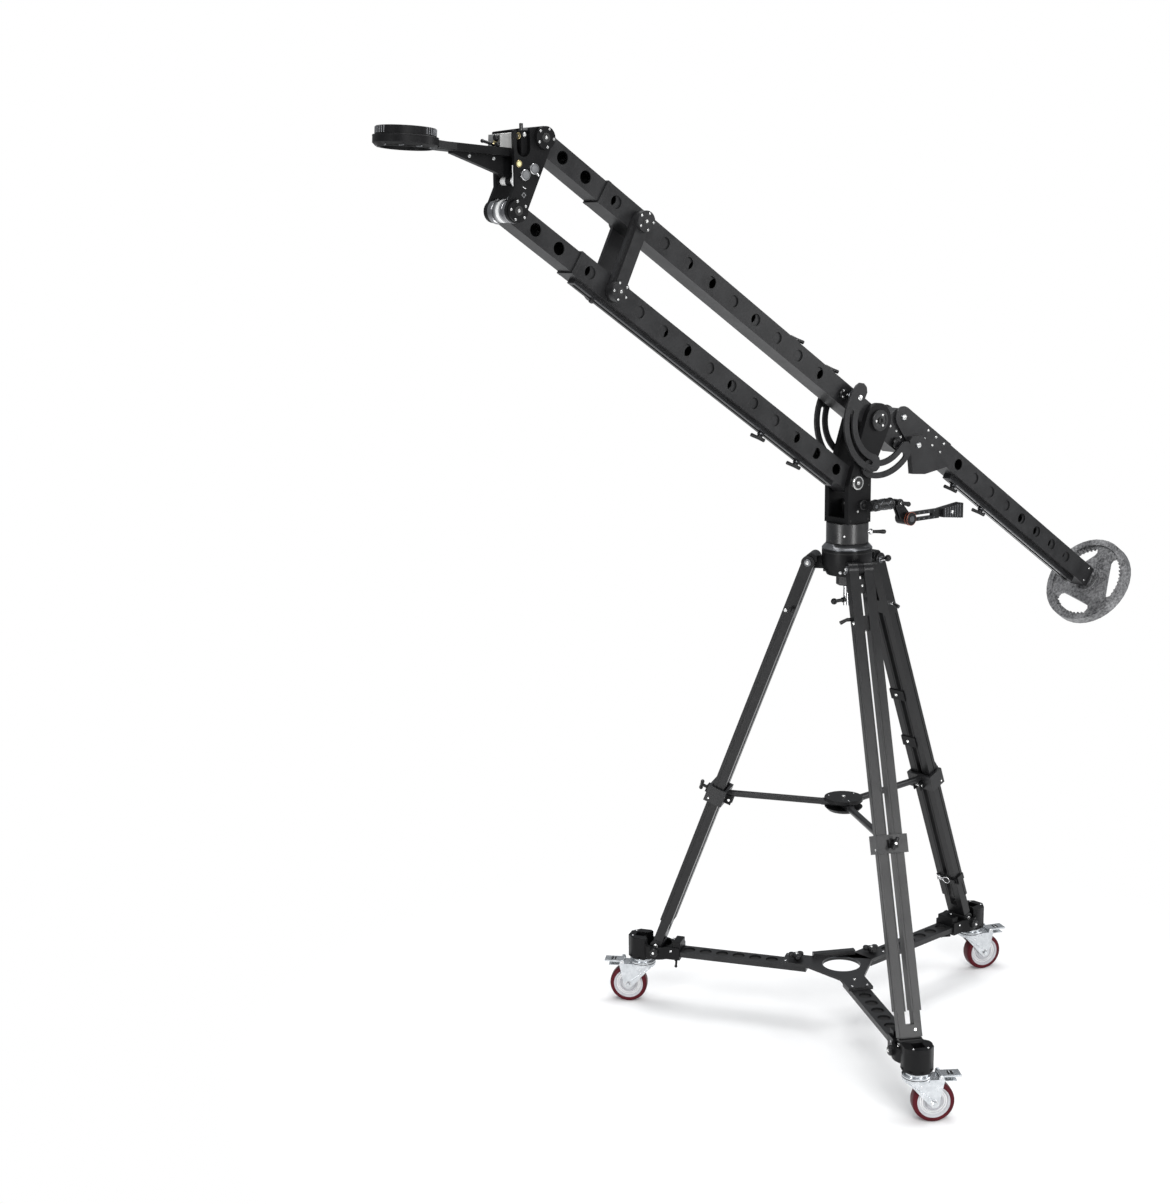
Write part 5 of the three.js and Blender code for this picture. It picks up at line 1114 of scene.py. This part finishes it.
def place_camera():
    """The camera of the photograph: yaw, pitch and roll in degrees, and its place in millimetres."""
    yaw, pitch, roll = (radians(a) for a in CAMERA_ANGLES)
    forward = Vector((-sin(yaw) * cos(pitch), cos(yaw) * cos(pitch), sin(pitch)))
    right = Vector((cos(yaw), sin(yaw), 0))
    up = right.cross(forward)
    right, up = (cos(roll) * right + sin(roll) * up, cos(roll) * up - sin(roll) * right)
    turn = Matrix((right, up, -forward)).transposed()
    data = bpy.data.cameras.new("camera")
    data.sensor_fit = "HORIZONTAL"
    data.sensor_width = SENSOR_WIDTH
    data.lens = FOCAL_PIXELS / IMAGE_WIDTH * SENSOR_WIDTH
    camera = add_object("camera", data)
    camera.matrix_world = Matrix.Translation(mm(*CAMERA_PLACE)) @ turn.to_4x4()
    bpy.context.scene.camera = camera


def area_light(name, place, target_rise, size, watts):
    """A rectangular light, aimed at a point over the middle of the floor."""
    data = bpy.data.lights.new(name, "AREA")
    data.shape = "RECTANGLE"
    data.size, data.size_y = size
    data.energy = watts
    light = add_object(name, data)
    place = Vector(place)
    aim = (place - Vector((0, 0, target_rise))).to_track_quat("Z", "Y")
    light.matrix_world = Matrix.Translation(place) @ aim.to_matrix().to_4x4()


def light_scene():
    """Five soft lights, and a world that the camera sees as white."""
    world = bpy.data.worlds.new("studio")
    bpy.context.scene.world = world
    world.use_nodes = True
    tree = world.node_tree
    tree.nodes.clear()
    seen = add_node(tree, "Background", {"Color": (1, 1, 1, 1), "Strength": 1.0})
    lit = add_node(tree, "Background", {"Color": (0.93, 0.96, 1, 1), "Strength": 0.34})
    camera_ray = add_node(tree, "LightPath", {}).outputs["Is Camera Ray"]
    mix = add_node(tree, "MixShader", {0: camera_ray, 1: lit.outputs[0], 2: seen.outputs[0]})
    add_node(tree, "OutputWorld", {"Surface": mix.outputs[0]})
    area_light("key", (-2.5, -3.5, 4.0), 1.2, (2.2, 2.2), 130)
    area_light("fill", (3.5, -2.5, 2.5), 1.0, (2.0, 2.5), 60)
    area_light("top", (0.3, 0.6, 4.6), 0.5, (3.0, 3.0), 150)
    area_light("strip_left", (-3.0, -0.2, 1.1), 1.1, (0.5, 2.2), 38)
    area_light("strip_right", (-0.3, -3.0, 1.1), 1.1, (0.5, 2.2), 38)


def lay_floor():
    """A pale floor that fades to the white of the background away from the crane."""
    material, tree, shader, output, place = node_tree("floor")
    feed(tree, shader, {
        "Base Color": ramp(tree, noise(tree, place, 3.0, 3.0), [(0.3, 0.86), (0.7, 0.9)]),
        "Roughness": 0.8,
        "Specular IOR Level": 0.1,
    })
    white = add_node(tree, "Emission", {"Color": (1, 1, 1, 1)})
    away = add_node(tree, "VectorMath", {0: place}, "LENGTH")
    fade = add_node(tree, "MapRange", {"Value": away.outputs["Value"], "From Min": 0.55, "From Max": 1.5})
    fade.interpolation_type = "SMOOTHSTEP"
    camera_ray = add_node(tree, "LightPath", {}).outputs["Is Camera Ray"]
    seen = add_node(tree, "Math", {0: fade.outputs["Result"], 1: camera_ray}, "MULTIPLY")
    mix = add_node(tree, "MixShader", {0: seen.outputs[0], 1: shader.outputs["BSDF"], 2: white.outputs[0]})
    feed(tree, output, {"Surface": mix.outputs[0]})
    bm = bmesh.new()
    bmesh.ops.create_grid(bm, x_segments=1, y_segments=1, size=30)
    floor = add_object("floor", mesh_of(bm, "floor"))
    floor.data.materials.append(material)
    floor.location = (0, 0, -0.0005)


# The crane, from the floor up, and then what no other piece stands for
for arm_name in ARMS:
    wheel(arm_name)
    caster(arm_name)
    dress_cup(arm_name)
dress_plate()
refine_legs()
for arm_name in ARMS:
    dress_leg_top(arm_name)
    dress_collar(arm_name)
dress_strap()
dress_spreader()
dress_feet()
dress_crown()
dress_pan()
dress_yoke()
dress_links()
dress_beams()
dress_levers()
dress_arcs()
dress_head_plates()
dress_head_fittings()
dress_rollers()
dress_lever()
dress_bowl()
dress_clamp_block()
dress_rear_arm()
dress_weight()
dress_monitor()
refine_beams()
refine_arms()
refine_rest()
place_camera()
light_scene()
lay_floor()
bpy.context.scene.view_settings.view_transform = "Standard"
